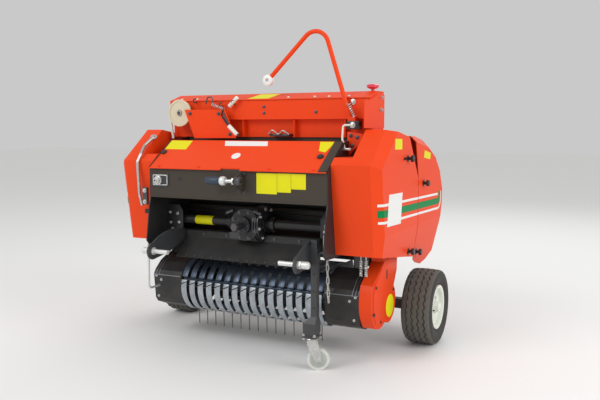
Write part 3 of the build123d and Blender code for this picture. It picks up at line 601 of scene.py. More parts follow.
@dataclass
class Decals(Dress):
    """Stripes and blank stickers on the outer faces of the side covers."""

    face_x: float = 734
    seam_front: float = 131.5
    seam_rear: float = 138.5
    start_y: float = -388
    start_z: float = 747
    edge_slant: float = -0.147
    chamfer: float = 22
    end_y: float = 505
    curl_y: float = 556
    curl_top: float = 782
    curl_radius: float = 45
    least_curl: float = 4
    line_gap: float = 16
    slope: float = -0.021
    green: Flat = (730, 764)
    upper_white: Flat = (781, 793)
    lower_white: Flat = (700, 712)

    def film(self, name: str, side: Side, outline: Sequence[Flat], finish: Finish,
             body: str = "frame", layers: int = 1) -> None:
        """Lay one thin film on a cover's outer face."""
        low, high = sorted(side.value * (self.face_x + reach * layers) for reach in (-FILM, FILM))
        finish.fit(prism(f"{name}_{side}", outline, Facing.X, low, high), body)

    def along(self, edges: Flat, start: float, end: float) -> list[Flat]:
        """Give the outline of a sloping stripe between two places, from its edges' heights."""
        low, high = edges
        ends = [(start, low), (end, low), (end, high), (start, high)]
        return [(y, z + self.slope * (y - self.start_y)) for y, z in ends]

    def front(self, name: str, side: Side, edges: Flat, finish: Finish) -> None:
        """Lay the part of a stripe on the front cover, its end folded round the slanting chamfer."""
        low, high = edges
        low_y, high_y = (self.start_y + self.edge_slant * (z - self.start_z) for z in edges)
        seam = self.along(edges, self.start_y, self.seam_front)[1:3]
        self.film(f"{name}_front", side, [(low_y, low), *seam, (high_y, high)], finish)
        face, end = side.value * self.face_x, side.value * (self.face_x - self.chamfer)
        corners = [(face, low_y, low), (face, high_y, high), (end, high_y - self.chamfer, high),
                   (end, low_y - self.chamfer, low)]
        finish.fit(plate(f"{name}_start_{side}", corners[::side.value], FILM))

    def rear(self, name: str, side: Side, edges: Flat, offset: float, finish: Finish) -> None:
        """Lay the part on the rear cover, its upward curl an offset outside the green stripe's."""
        width = edges[1] - edges[0]
        outer_y, radius = self.curl_y + offset, self.curl_radius + offset
        first, foot, _, last = self.along(edges, self.seam_rear, self.end_y)
        centre = (outer_y - radius, foot[1] + radius)
        turns = [radians(turn) for turn in range(-90, 1, 15)]
        inner = arc(centre, max(radius - width, self.least_curl), reversed(turns))
        outline = [first, *arc(centre, radius, turns), (outer_y, self.curl_top),
                   (outer_y - width, self.curl_top), *inner, last]
        self.film(f"{name}_rear", side, outline, finish, "gate")

    def build(self) -> None:
        """Lay the stripes and stickers on both sides."""
        for side in Side:
            for name, edges, finish in (("green_stripe", self.green, GREEN),
                                        ("white_line_top", self.upper_white, WHITE),
                                        ("white_line_low", self.lower_white, WHITE)):
                self.front(name, side, edges, finish)
            self.rear("green_stripe", side, self.green, 0, GREEN)
            self.rear("white_line_low", side, self.lower_white, self.line_gap, WHITE)
            top = self.along(self.upper_white, self.seam_rear, self.end_y)
            self.film("white_line_top_rear", side, top, WHITE, "gate")
            sticker = [(-345, 683), (-150, 677), (-128, 826), (-320, 830)]
            self.film("blank_sticker", side, sticker, WHITE, layers=2)
            cover = [(-245, 1036), (-140, 1034), (-142, 1084), (-243, 1086)]
            self.film("yellow_label_cover", side, cover, YELLOW)
            gate = [(225, 982), (340, 969), (352, 1003), (238, 1020)]
            self.film("yellow_label_gate", side, gate, YELLOW, "gate")


@dataclass
class Tyre(Dress):
    """Ribbed flotation tyre that stands for the plain solid."""

    flank: tuple[Flat, ...] = ((104, 60), (117.5, 60), (130, 70), (146, 78.5), (158, 80.5), (170, 79.5),
                               (180, 77), (188, 73.5), (194, 66))
    radius: float = 197.5
    crown: float = 1.6
    grooves: tuple[float, ...] = (-46, -15.5, 15.5, 46)
    groove_depth: float = 9
    groove_half: float = 4.5
    groove_foot: float = 0.6
    steps: int = 120
    tread_from: float = 0.184
    ribs_within: float = 0.055
    zigzag: float = 0.0034
    sipe: float = 0.0016
    notch: float = 0.003

    def profile(self) -> list[Flat]:
        """Give the tyre's section as (radius, place across from its middle)."""
        section = [(radius, -across) for radius, across in self.flank]
        for groove in self.grooves:
            top = self.radius - self.crown * (groove / self.grooves[0]) ** 2
            foot = top - self.groove_depth
            for radius, share in ((top, -1), (foot, -self.groove_foot), (foot, self.groove_foot), (top, 1)):
                section.append((radius, groove + share * self.groove_half))
        return section + list(reversed(self.flank))

    def build(self) -> None:
        """Make both tyres."""
        for side in Side:
            node = f"tyre_{side}"
            low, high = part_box(node)
            centre = (low + high) / 2
            middle = [at * 1000 for at in centre]
            tyre = turned(f"ribbed_tyre_{side}", self.profile(), middle, RIGHT, self.steps)
            self.tread(tyre, centre)
            TYRE.fit(tyre, f"wheel_{side}")
            tyre.data.materials.append(TREAD.material())
            for face in tyre.data.polygons:
                arm = face.center - centre
                face.material_index = int(Vector((arm.y, arm.z)).length > self.tread_from)
            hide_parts(node)

    def tread(self, tyre: Piece, centre: Vector) -> None:
        """Set the grooves in a zigzag, cut the ribs and notch the shoulders, all in metres."""
        for vertex in tyre.data.vertices:
            arm = vertex.co - centre
            reach = Vector((0, arm.y, arm.z))
            if reach.length < self.tread_from:
                continue
            index = round(Vector(BACK).angle(reach) / (2 * pi / self.steps))
            if abs(arm.x) < self.ribs_within:
                vertex.co.x += self.zigzag * (1 if index % 4 < 2 else -1)
                vertex.co -= reach.normalized() * self.sipe * (index % 2)
            elif index % 4 < 2:
                vertex.co -= reach.normalized() * self.notch


@dataclass
class Latches(Dress):
    """Black knobs and the latch slots that hold the covers shut, the slots as dark slabs of painted shade.
    """

    face_x: float = 734
    lean: float = 0.125
    lean_below: float = 640
    knobs: tuple[tuple[str, float, float], ...] = (
        ("frame", -48, 987), ("gate", 224, 848), ("frame", 30, 512), ("gate", 168, 489))
    knob: tuple[Flat, ...] = ((CORE, 0), (16, 0), (16, 4), (8, 6), (8, 16), (17, 19), (17, 30), (14, 33),
                              (CORE, 33))

    def build(self) -> None:
        """Make the knobs, their plates and a dark slab of painted shade for the slot beside the top one."""
        for side in Side:
            out = side.value
            for index, (body, y, z) in enumerate(self.knobs):
                face = self.face_x - max(0, self.lean_below - z) * self.lean
                knob = turned(f"cover_knob_{side}_{index}", self.knob, (out * face, y, z), (out, 0, 0), 20)
                PLASTIC_AND_HOLE_SHADE.fit(knob, body)
            # Painted shade: a dark slab where the cover has an open slot.
            low, high = sorted((out * (self.face_x - 1), out * (self.face_x + 1.5)))
            slot = prism(f"cover_slot_{side}", rectangle((-112, 981), (-70, 994)), Facing.X, low, high)
            PLASTIC_AND_HOLE_SHADE.fit(slot)


@dataclass
class HoodDress(Dress):
    """Labels, grommets and dark edge strips on the red hood."""

    front: Flat = (-504, 936)
    back: Flat = (-309, 1072)

    def on_slope(self, x: float, y: float, lift: float = 0.0) -> Place:
        """Give the point of the hood's slope above a place, or one lifted off it."""
        rise = (self.back[1] - self.front[1]) / (self.back[0] - self.front[0])
        off = Vector((0, -rise, 1)).normalized() * lift
        return (x, y + off.y, self.front[1] + (y - self.front[0]) * rise + off.z)

    def sheet(self, name: str, finish: Finish, corners: Sequence[Flat], thickness: float = FILM) -> None:
        """Lay a flat sheet on the slope."""
        finish.fit(plate(name, [self.on_slope(*corner) for corner in corners], thickness))

    def build(self) -> None:
        """Dress the hood."""
        self.sheet("yellow_label_hood_left", YELLOW,
                   [(-490, -374), (-356, -375), (-356, -312), (-490, -311)])
        self.sheet("yellow_label_hood_right", YELLOW,
                   [(402, -372), (438, -380), (456, -330), (456, -312), (382, -312)])
        self.sheet("white_label_hood", WHITE, [(-136, -346), (110, -344), (95, -313), (-155, -312)])
        self.sheet("hood_strip_right", PANEL, rectangle((457.5, -502), (500, -311)), 4)
        self.sheet("hood_strip_left", PANEL, rectangle((-496, -502), (-493.5, -311)), 4)
        for side, x, y in (("left", -477, -398), ("right", 428, -410)):
            ends = (self.on_slope(x, y, -1), self.on_slope(x, y, 7))
            PLASTIC_AND_HOLE_SHADE.fit(drum(f"hood_grommet_{side}", *ends, 16, 20, 2))
        badge = (-30, -413)
        WHITE.fit(drum("hood_badge", self.on_slope(*badge), self.on_slope(*badge, 1), 24, 28, 0.2))
        bolts = [self.on_slope(x, -492) for x in (-440, -200, 200, 430)]
        RED.fit(heads("hood_bolts", bolts, (0, -0.57, 0.82), 6, 4))


@dataclass
class PanelDress(Dress):
    """Labels and bracket of the grey front panel, a dark disc of painted shade in its hole, and the rings
    on the top link's pin.
    """

    face_y: float = -490
    labels: tuple[tuple[Flat, Flat], ...] = (
        ((130, 826), (240, 924)), ((241.5, 836), (314, 925)), ((315.5, 853), (391, 925)))
    link: Flat = (-550, 885)

    def build(self) -> None:
        """Dress the panel."""
        for index, (low, high) in enumerate(self.labels):
            corners = (Facing.Y.place(low, self.face_y - FILM), Facing.Y.place(high, self.face_y))
            YELLOW.fit(slab(f"yellow_label_panel_{index}", *corners, 0.2))
        GREY.fit(slab("panel_bracket", (-481, -494, 840), (-381, -490, 906), 1.5))
        rim = [(x, -497, z) for x, z in rectangle((-474, 849), (-388, 898))]
        ZINC.fit(rod("panel_bracket_rim", rim + rim[:2], 3.5, 6))
        boss = [(4, 0), (24, 0), (24, 12), (18, 16), (18, 24), (10, 26), (10, 34), (4, 34)]
        ZINC.fit(turned("panel_boss", boss, (-442, -494, 872), FRONT, 24))
        # Painted shade: a dark disc laid in the panel's hole.
        PLASTIC_AND_HOLE_SHADE.fit(drum("panel_hole", (-313, -489.5, 881), (-313, -491.2, 881), 11, 20, 0.3))
        PANEL.fit(rod("panel_low_edge", [(-490, self.face_y, 787), (490, self.face_y, 787)], 3.5))
        for index, (y, z) in enumerate(((-172, 716), (-178, 690), (-185, 660))):
            PANEL.fit(rod(f"intake_rib_{index}", [(-475, y, z), (475, y, z)], 4))
        collar = [(9.7, 0), (21, 0), (23, 4), (23, 20), (19, 25), (9.7, 25)]
        STEEL.fit(turned("top_link_collar", collar, (55.5, *self.link), RIGHT))
        barrel = [(9.8, -114), (16, -114), (19, -108), (19, -40), (15, -34), (9.8, -34)]
        SLATE.fit(turned("top_link_barrel", barrel, (0, *self.link), RIGHT))
        ring = [(9.8, -32), (20, -32), (22, -26), (22, -12), (18, -6), (9.8, -6)]
        CHAIN.fit(turned("top_link_ring", ring, (0, *self.link), RIGHT))
        bolts = [(x, self.face_y, z) for x, z in ((64, 832), (64, 918), (36, 832))]
        GREY.fit(heads("bracket_bolts", bolts, FRONT, 8, 5))


@dataclass
class DriveDress(Dress):
    """Bolts, label and splines of the gearbox and its tubes."""

    centre: Flat = (0, 655)
    flange_y: float = -388
    tube_y: float = -305
    teeth: int = 6
    tooth: tuple[Flat, ...] = ((-0.30, 17.8), (-0.18, 19.6), (0.18, 19.6), (0.30, 17.8))
    mount: tuple[Flat, ...] = ((496, 575), (496, 735), (425, 735), (400, 700), (400, 610), (425, 575))
    mount_bolts: tuple[Flat, ...] = ((482, 692), (467, 605), (434, 687), (478, 637), (425, 640))

    def ring(self, radius: float, count: int, y: float, turn: float = 0.0) -> list[Place]:
        """Give points on a circle round the input shaft."""
        turns = [turn + 2 * pi * index / count for index in range(count)]
        return [(x, y, z) for x, z in arc(self.centre, radius, turns)]

    def build(self) -> None:
        """Dress the gearbox and its tubes."""
        STEEL.fit(heads("gearbox_flange_bolts", self.ring(68, 8, self.flange_y, 0.39), FRONT, 8))
        STEEL.fit(heads("gearbox_nose_bolts", self.ring(33.5, 6, -410), FRONT, 5, 4, washer=0))
        outline = [arc(self.centre, radius, [tooth * 2 * pi / self.teeth + offset])[0]
                   for tooth in range(self.teeth) for offset, radius in self.tooth]
        STEEL.fit(prism("stub_splines", outline, Facing.Y, -488, -420, 0.8), "pto")
        for index, ends in enumerate((((-100, 711), (-60, 728)), ((60, 728), (100, 711)))):
            STEEL.fit(rod(f"gearbox_lug_{index}", [(x, -392, z) for x, z in ends], 9))
        ends = [(x, self.tube_y, 655) for x in (-338, -232)]
        YELLOW.fit(drum("yellow_label_tube", *ends, 23.8, 40, 0.3))
        GREY.fit(slab("gearbox_drain_block", (-87, -392, 584), (-25, -372, 615), 3))
        for side in Side:
            out = side.value
            at = (out * 112, self.tube_y, 655)
            clamp = rectangle((23.5, 0), (34, 22))
            BLACK.fit(turned(f"tube_clamp_{side}", clamp, at, (out, 0, 0)))
            mount = [(out * x, z) for x, z in self.mount]
            BLACK.fit(prism(f"tube_mount_{side}", mount, Facing.Y, -350, -342, 1))
            bolts = [(out * x, -350, z) for x, z in self.mount_bolts]
            ZINC.fit(heads(f"tube_mount_bolts_{side}", bolts, FRONT, 6))
        guard = [(x, -329, 583) for x in (-280, -140, 140, 280)]
        STEEL.fit(heads("guard_bolts", guard, FRONT, 6))
        edge = [(52 * index - 20, -415.5, 478.3) for index in range(-6, 5)]
        STEEL.fit(heads("guard_edge_bolts", edge, (0, -0.687, 0.727), 5, 5))
        self.stack()

    def stack(self) -> None:
        """Set the stacked plates and their bolts on the side of the gearbox."""
        centre = (self.tube_y, self.centre[1])
        ridge = [(30, 0), (89, 0), (92, 2), (92, 6), (89, 8), (30, 8)]
        for index, x in enumerate((46, 60, 74)):
            STEEL.fit(turned(f"gearbox_plate_{index}", ridge, (x, *centre), RIGHT, 40))
        bolts = [(82, y, z) for y, z in arc(centre, 78, [pi * index / 4 + 0.2 for index in range(8)])]
        ZINC.fit(heads("gearbox_plate_bolts", bolts, RIGHT, 7.5))


@dataclass
class PickupDress(Dress):
    """Edges and bolts of the pickup, a copy of its lift chains, and the cover of its chain case."""

    housing_top: tuple[Flat, ...] = ((-349, 346), (-334, 369), (-287, 410), (-229, 437), (-188, 447.5))
    bolts: tuple[Flat, ...] = ((552, 317), (574, 225), (582, 338))
    case_x: float = 668
    case_outline: tuple[Flat, ...] = (
        (-187, 500), (-322, 392), (-338, 350), (-340, 300), (-325, 245), (-298, 205), (-240, 192),
        (-178, 206), (-110, 212), (-52, 235), (-40, 270), (-44, 310), (-66, 345), (-22, 420), (-12, 500))
    chain_top: Place = (0.0, -0.440, 0.690)
    chain_low: Place = (0.0, -0.351, 0.300)

    def build(self) -> None:
        """Dress both housings, the chains and the chain case."""
        for side in Side:
            out = side.value
            # Light steel rods along the black housing's folds and front seam are painted highlights on its
            # edges.
            for index, x in enumerate((598, 583, 566)):
                fold = [(out * x, y, z) for y, z in self.housing_top]
                BAND.fit(rod(f"housing_fold_{side}_{index}", fold, 2.2, 10), "pickup")
            seam = [(out * 426, -348.5, 345), (out * 598, -348.5, 345)]
            BAND.fit(rod(f"housing_seam_{side}", seam, 2.5), "pickup")
            bolts = [(out * x, -343.5 - (z - 290) * 0.06, z) for x, z in self.bolts]
            ZINC.fit(heads(f"housing_bolts_{side}", bolts, (0, -1, 0.1), 5), "pickup")
        self.chains()
        self.case()
        for name, x in (("inner", 629.5), ("outer", 654.5)):
            foot, top, eye = ((x, -400, z) for z in (455, 528, 546))
            ZINC.fit(coil(f"lift_spring_{name}", foot, top, 6.5, 2.2, 9))
            ZINC.fit(rod(f"spring_hook_{name}", [top, eye], 2.2))

    def chains(self) -> None:
        """Put a copy of the lift chains, parented to no body, in place of the node, and hide the node."""
        activate(bpy.data.objects["lift_chains"])
        bpy.ops.object.duplicate()
        slack = bpy.context.object
        slack.name = slack.data.name = "slack_chains"
        slack.parent = None
        for mark in list(slack.keys()):
            del slack[mark]
        close_shell(slack)
        CHAIN.cover(slack)
        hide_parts("lift_chains")
        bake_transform(slack)

    def case(self) -> None:
        """Raise the chain case's cover and stick the blank disc on it."""
        face = self.case_x
        RED.fit(prism("case_cover", self.case_outline, Facing.X, face, face + 3.2, 3), "pickup")
        ends = [(face + reach, -112, 258) for reach in (3.5, 5)]
        YELLOW.fit(drum("yellow_label_case", *ends, 57, 40, 0.3), "pickup")
        # Painted shade: a dark slab in the open slot of the case's cover.
        PLASTIC_AND_HOLE_SHADE.fit(slab("case_slot", (face + 3, -166, 402), (face + 4.2, -150, 446), 0.5), "pickup")
        bolts = [(face, y, z) for y, z in ((-310, 385), (-332, 260), (-240, 203), (-62, 330))]
        STEEL.fit(heads("case_bolts", bolts, RIGHT, 7), "pickup")


@dataclass
class BandDress(Dress):
    """Pressed skins of the stripper bands, lighter on their lower arcs as painted light and darker blue on
    their upper arcs as painted shade with a bluish painted reflection, and sleeves of the reel's tine bars.
    """

    axis: Flat = (-220, 292)
    count: int = 16
    pitch: float = 52.6
    half_width: float = 16.5
    inner: float = 138.5
    outer: float = 141.2
    arc_steps: int = 14
    bar_ring: float = 105
    bar_angles: tuple[int, ...] = (159, 249, 339, 69)
    bar_radius: float = 15.5
    bar_reach: float = 402

    def skins(self, name: str, first: int, last: int, finish: Finish) -> None:
        """Lay one curved skin on each band, between two angles in degrees."""
        steps = self.arc_steps
        turns = [radians(first + (last - first) * step / steps) for step in range(steps + 1)]
        outline = arc(self.axis, self.outer, turns) + arc(self.axis, self.inner, reversed(turns))
        start = -(self.count - 1) / 2 * self.pitch
        skin = prism(name, outline, Facing.X, start - self.half_width, start + self.half_width, 0.7)
        finish.fit(row(name, skin, self.count, self.pitch), "pickup")

    def build(self) -> None:
        """Lay the lighter, painted lit skins on the bands' lower arcs and the darker, painted shaded skins
        on their upper arcs, and sleeve the reel.
        """
        # Painted light and shade on the bands: lighter skins low down, darker bluish skins high up.
        self.skins("band_skins_low", 163, 280, BAND_PAINTED_LIT)
        self.skins("band_skins_high", 92, 156, BAND_PAINTED_SHADE)
        for index, at in enumerate(arc(self.axis, self.bar_ring, map(radians, self.bar_angles))):
            ends = (Facing.X.place(at, -self.bar_reach), Facing.X.place(at, self.bar_reach))
            SLATE.fit(drum(f"tine_bar_sleeve_{index}", *ends, self.bar_radius, 20), "reel")


@dataclass
class WheelDress(Dress):
    """Bolts, valve and cap of each rim."""

    axle: Flat = (200, 197.5)
    cap: tuple[Flat, ...] = ((CORE, 0), (27, 0), (27, 10), (22, 15.5), (CORE, 18))

    def build(self) -> None:
        """Dress both rims."""
        for side in Side:
            out, wheel = side.value, f"wheel_{side}"
            turns = [pi / 4 + index * pi / 2 for index in range(4)]
            studs = [(out * 800.5, *at) for at in arc(self.axle, 52, turns)]
            ZINC.fit(heads(f"wheel_bolts_{side}", studs, (out, 0, 0)), wheel)
            ends = [(out * x, self.axle[0] - 86, self.axle[1]) for x in (806, 838)]
            PLASTIC_AND_HOLE_SHADE.fit(drum(f"tyre_valve_{side}", *ends, 4, 12), wheel)
            at = (out * 827.5, *self.axle)
            CREAM.fit(turned(f"hub_cap_{side}", self.cap, at, (out, 0, 0), 32), wheel)


@dataclass
class StandDress(Dress):
    """Small parts of the parking stand and of its caster."""

    leg_x: float = 427
    foot_x: float = 411
    leg_y: float = -465
    heading: float = radians(26.4)

    def build(self) -> None:
        """Dress the stand."""
        corners = [(self.foot_x + dx, self.leg_y + dy) for dx in (-28, 28) for dy in (-31.5, 28)]
        for name, z, way, height in (("bolts", 168, UP, 8), ("nuts", 158, DOWN, 7)):
            places = [(*at, z) for at in corners]
            ZINC.fit(heads(f"foot_{name}", places, way, 6.5, height), "stand")
        # Painted shade: dark discs in the leg's holes.
        for index, z in enumerate((300, 380, 460)):
            ends = [(self.leg_x, self.leg_y - reach, z) for reach in (14.5, 15.4)]
            PLASTIC_AND_HOLE_SHADE.fit(drum(f"leg_hole_{index}", *ends, 7, 20, 0.2), "stand")
        for index, (x, top, foot) in enumerate(((476, 645, 540), (489, 640, 542))):
            pin = [(x - 4, -470, top), (x - 4, -470, foot), (x, -470, foot - 4), (x + 4, -470, foot),
                   (x + 4, -470, top - 10)]
            ZINC.fit(rod(f"hairpin_{index}", pin, 2.2, 3))
        BLACK.fit(slab("chain_hanger", (474, -466, 640), (495.5, -450, 712), 2))
        knob = [(CORE, 0), (16, 0), (17, 6), (14, 14), (CORE, 14)]
        PLASTIC_AND_HOLE_SHADE.fit(turned("clamp_knob", knob, (470, self.leg_y, 560), RIGHT, 20))
        self.caster()

    def caster(self) -> None:
        """Add the ball race, the axle bolt and the grey faces of the wheel."""
        race = [(23, 0), (30, 0), (33, 4), (30, 9), (23, 9)]
        ZINC.fit(turned("caster_race", race, (self.foot_x, self.leg_y, 147), UP), "caster_swivel")
        hub = Vector((*arc((self.foot_x, self.leg_y), 30, [self.heading])[0], 53))
        along = Vector((sin(self.heading), -cos(self.heading), 0))
        rim = [(7, 0), (38, 0), (40, 1), (38, 2), (7, 2)]
        for index, way in enumerate((-along, along)):
            face = turned(f"caster_face_{index}", rim, hub + way * 14.8, way, 32)
            CASTER_GREY.fit(face, "caster_roller")
            ZINC.fit(heads(f"caster_nut_{index}", [hub + way * 22], way), "caster_swivel")


@dataclass
class TwineDress(Dress):
    """Fittings of the twine box, its lid and the twine arm."""

    slope_low: Flat = (-193, 1285)
    slope_high: Flat = (-90, 1318)
    pulley: Place = (-495, -234, 1218)

    def on_lid(self, x: float, y: float) -> Place:
        """Give the point of the lid's slope above a place."""
        share = (y - self.slope_low[0]) / (self.slope_high[0] - self.slope_low[0])
        return (x, y, self.slope_low[1] + share * (self.slope_high[1] - self.slope_low[1]))

    def build(self) -> None:
        """Dress the box, the lid and the arm."""
        self.lid()
        self.front()
        self.crank()
        self.guide()
        self.arm()

    def lid(self) -> None:
        """Dress the lid."""
        label = [self.on_lid(*at) for at in ((-96, -184), (26, -184), (56, -104), (-60, -104))]
        YELLOW.fit(plate("yellow_label_lid", label, FILM), "lid")
        rivets = [self.on_lid(x, -172) for x in (-520, -420, 137, 286, 364, 470)]
        CREAM.fit(heads("lid_rivets", rivets, (0, -0.305, 0.952), 5, 3), "lid")
        knob = [(CORE, 0), (9, 0), (9, 10), (22, 14), (30, 20), (30, 30), (24, 34), (CORE, 36)]
        PINK.fit(turned("lid_knob", knob, (557, -75, 1317.5), UP), "lid")

    def front(self) -> None:
        """Dress the front and the end of the box."""
        rivets = [(5, -190, 1214), (301, -190, 1216), (5, -190, 1246)]
        STEEL.fit(heads("box_rivets", rivets, FRONT, 6, 4))
        RED.fit(rod("box_front_fold", [(-585, -190.5, 1183), (585, -190.5, 1183)], 3))
        end = [(592, -45, 1286), (592, -53, 1226)]
        ZINC.fit(heads("box_end_bolts", end, RIGHT, 8, 10))
        CREAM.fit(rod("twine_post", [(-584, -196, 1190), (-566, -196, 1080)], 7))
        loops = [(40, -210, 1105), (70, -220, 1128), (100, -210, 1102), (130, -220, 1126),
                 (160, -210, 1104)]
        ZINC.fit(rod("twine_loops", loops, 4, 12))
        STEEL.fit(slab("twine_block", (45, -205, 1094), (155, -155, 1108), 3))

    def crank(self) -> None:
        """Set the bent crank rod, its stay and its shelf behind the hood's right end."""
        bar = [(529, -300, 1150), (494, -300, 1150), (490, -300, 1085), (502, -300, 1040)]
        CREAM.fit(rod("crank_bar", bar, 4.8, 15))
        ZINC.fit(slab("crank_foot", (470, -315, 1030), (540, -285, 1042), 3))
        stay = [(493, 1119), (493, 1065), (470, 1000), (500, 1000), (523, 1028), (568, 1066), (573, 1108)]
        RED.fit(prism("crank_stay", stay, Facing.Y, -246, -240, 1.5))
        bolts = [(545, -246, 1092), (512, -246, 1100), (520, -246, 1052)]
        STEEL.fit(heads("crank_stay_bolts", bolts, FRONT, 7))
        STEEL.fit(slab("crank_shelf", (440, -300, 1000), (505, -236, 1008), 2))
        CHAIN.fit(coil("crank_spring", (445, -262, 1018), (500, -262, 1030), 9, 2.8, 6))

    def guide(self) -> None:
        """Dress the twine guide at the left end."""
        STEEL.fit(heads("pulley_bolt", [self.pulley], FRONT, 12, 6))
        lip = [(62, 0), (71, 0), (72, 3), (62, 3)]
        PULLEY.fit(turned("pulley_lip", lip, self.pulley, FRONT, 48))
        ZINC.fit(coil("guide_spring", (-276, -246, 1259), (-205, -246, 1236), 7, 2, 8))
        hook = [(-330, -225, 1262), (-319, -225, 1300), (-290, -225, 1300), (-276, -240, 1259)]
        STEEL.fit(rod("guide_hook", hook, 3.5, 12))
        CREAM.fit(drum("guide_damper", (-190, -215, 1250), (-140, -215, 1296), 10, 20))
        link = [(-208, -246, 1215), (-190, -246, 1180), (-165, -246, 1140)]
        STEEL.fit(rod("guide_link", link, 5))
        tail = [(-208, -246, 1234), (-222, -246, 1204), (-186, -250, 1160), (-112, -250, 1098)]
        PLASTIC_AND_HOLE_SHADE.fit(rod("guide_tail", tail, 3.5, 12))
        for index, (x, z) in enumerate(((-411, 1284), (-246, 1262), (-170, 1272))):
            eye = [(x, -192, z - 10), (x, -222, z - 10), (x, -222, z + 8), (x + 16, -222, z + 8)]
            STEEL.fit(rod(f"guide_eye_{index}", eye, 3.5, 8))
        CREAM.fit(drum("guide_handle", (-172, -250, 1148), (-122, -250, 1102), 11, 20))
        bolts = [(-420, -242, 1214), (-240, -242, 1212), (-170, -242, 1105)]
        STEEL.fit(heads("guide_bolts", bolts, FRONT, 7))

    def arm(self) -> None:
        """Dress the arm's eye and pivot."""
        eye = [(9.8, -14), (20, -14), (27.5, -10), (27.5, 10), (20, 14), (9.8, 14)]
        WHITE.fit(turned("twine_eye", eye, (44, -215, 1378), BACK, 32))
        PLASTIC_AND_HOLE_SHADE.fit(slab("arm_pivot", (482, -232, 1130), (548, -191, 1170), 4))
        ZINC.fit(coil("arm_spring", (494, -236, 1254), (526, -236, 1188), 8, 2.5, 7))
        ZINC.fit(heads("arm_bolts", [(515, -232, 1150), (500, -191.5, 1262)], FRONT, 10))


@dataclass
class SideRods(Dress):
    """Control rod and latch at the left end of the front panel."""

    def build(self) -> None:
        """Make the rod, its eye and the latch."""
        strap = [(-593, -338, 1088), (-606, -396, 1045), (-588, -450, 1003), (-594, -474, 962),
                 (-585, -472, 790), (-565, -476, 735)]
        ZINC.fit(rod("control_rod", strap, 8, 30))
        eye = rectangle((7, 0), (18, 8))
        ZINC.fit(turned("control_rod_eye", eye, (-593, -334, 1085), (0.3, -0.6, 0.74), 24))
        STEEL.fit(slab("panel_latch", (-552, -492, 742), (-520, -478, 832), 3))
        ZINC.fit(heads("latch_bolts", [(-536, -492, 757), (-536, -492, 815)], FRONT, 8))


@dataclass
class RearDress(Dress):
    """Bolts of the tailgate's bars and of the axle, and the hinge of the twine box's lid."""

    bars: tuple[Flat, ...] = ((482, 982), (504, 500))
    weld_x: float = 494.5
    bracket_x: float = 510
    bracket_bolts: tuple[Flat, ...] = ((75, 515), (105, 515), (90, 455))
    hinge: Flat = (2, 1316)

    def build(self) -> None:
        """Dress the back of the machine."""
        for index, (y, z) in enumerate(self.bars):
            bolts = [(x, y, z) for x in (-450, -360, 360, 450)]
            ZINC.fit(heads(f"gate_bar_bolts_{index}", bolts, BACK), "gate")
            for side in Side:
                seam = [(side.value * self.weld_x, y - 1, z + reach) for reach in (-21, 21)]
                RED.fit(rod(f"gate_weld_{index}_{side}", seam, 3), "gate")
        for side in Side:
            bolts = [(side.value * self.bracket_x, *at) for at in self.bracket_bolts]
            ZINC.fit(heads(f"axle_bolts_{side}", bolts, (side.value, 0, 0), 10))
        ends = [(x, *self.hinge) for x in (-560, 560)]
        ZINC.fit(drum("lid_hinge_pin", *ends, 3.5, 16))
        for index, x in enumerate((-480, -160, 160, 480)):
            ends = [(x + reach, *self.hinge) for reach in (-40, 40)]
            RED.fit(drum(f"lid_knuckle_{index}", *ends, 6.5, 20, 1.5), "lid")


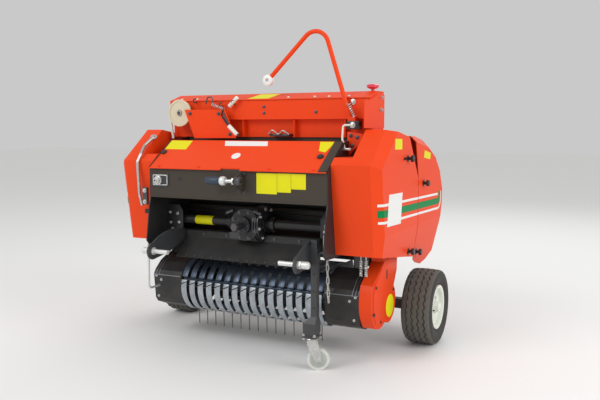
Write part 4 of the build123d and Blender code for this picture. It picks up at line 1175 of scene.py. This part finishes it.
@dataclass
class Studio:
    """Floor, lights and camera, in metres."""

    lens: float = 42.48
    sensor: float = 36.0
    camera_at: Place = (1.808, -3.405, 1.13)
    heading: float = 26.4
    pitch: float = 5.7
    floor_size: float = 60.0
    floor_colour: Place = (0.84, 0.84, 0.83, 1)
    world_strength: float = 0.68
    backdrop: float = 0.585
    aim: Place = (0, 0, 0.6)
    lamp_size: float = 3.0
    places: tuple[tuple[str, Place, float], ...] = (
        ("key", (-2.5, -5.5, 5.0), 170.0), ("side", (5.5, -1.0, 3.5), 120.0),
        ("back", (0.5, 5.0, 4.5), 70.0))

    def build(self) -> None:
        """Set the stage."""
        self.camera()
        self.floor()
        self.sky()
        self.lamps()
        bpy.context.scene.view_settings.view_transform = "Standard"

    def camera(self) -> None:
        """Place the camera at the photograph's angle."""
        clear_selection()
        bpy.ops.object.camera_add(location=self.camera_at,
                                  rotation=(radians(90 - self.pitch), 0, radians(self.heading)))
        camera = bpy.context.object
        camera.name = "camera"
        camera.data.lens = self.lens
        camera.data.sensor_width = self.sensor
        bpy.context.scene.camera = camera

    def floor(self) -> None:
        """Lay a plain pale floor."""
        clear_selection()
        bpy.ops.mesh.primitive_plane_add(size=self.floor_size)
        floor = bpy.context.object
        floor.name = "floor"
        material = bpy.data.materials.new("pale_floor")
        material.use_nodes = True
        fill(material.node_tree.nodes["Principled BSDF"],
             {"Base Color": self.floor_colour, "Roughness": 0.8})
        floor.data.materials.append(material)

    def sky(self) -> None:
        """Light the scene with an even sky that the camera and gloss see darker."""
        world = bpy.data.worlds.new("studio")
        bpy.context.scene.world = world
        world.use_nodes = True
        tree = world.node_tree
        light = tree.nodes["Background"]
        white = (1, 1, 1, 1)
        fill(light, {"Color": white, "Strength": self.world_strength})
        seen = wired(tree, "Background", {"Color": white, "Strength": self.backdrop})
        rays = wired(tree, "LightPath", {})
        darker = wired(tree, "Math", {0: rays["Is Camera Ray"], 1: rays["Is Glossy Ray"]},
                       operation="MAXIMUM")
        either = wired(tree, "MixShader", {0: darker[0], 1: light.outputs[0], 2: seen[0]})
        fill(tree.nodes["World Output"], {"Surface": either[0]})

    def lamps(self) -> None:
        """Light the scene with soft area lamps."""
        for name, at, watts in self.places:
            clear_selection()
            turn = (Vector(self.aim) - Vector(at)).to_track_quat("-Z", "Y").to_euler()
            bpy.ops.object.light_add(type="AREA", location=at, rotation=turn)
            lamp = bpy.context.object
            lamp.name = f"{name}_lamp"
            lamp.data.shape = "SQUARE"
            lamp.data.size = self.lamp_size
            lamp.data.energy = watts


def main() -> None:
    """Load the frame, dress it and set the stage."""
    logging.basicConfig(level=logging.INFO, format="%(message)s")
    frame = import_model()
    coat_nodes(frame["nodes"])
    Studio().build()
    for dress in Dress.__subclasses__():
        dress().build()
        LOG.info("%s is dressed", dress.__name__)


if __name__ == "__main__":
    main()
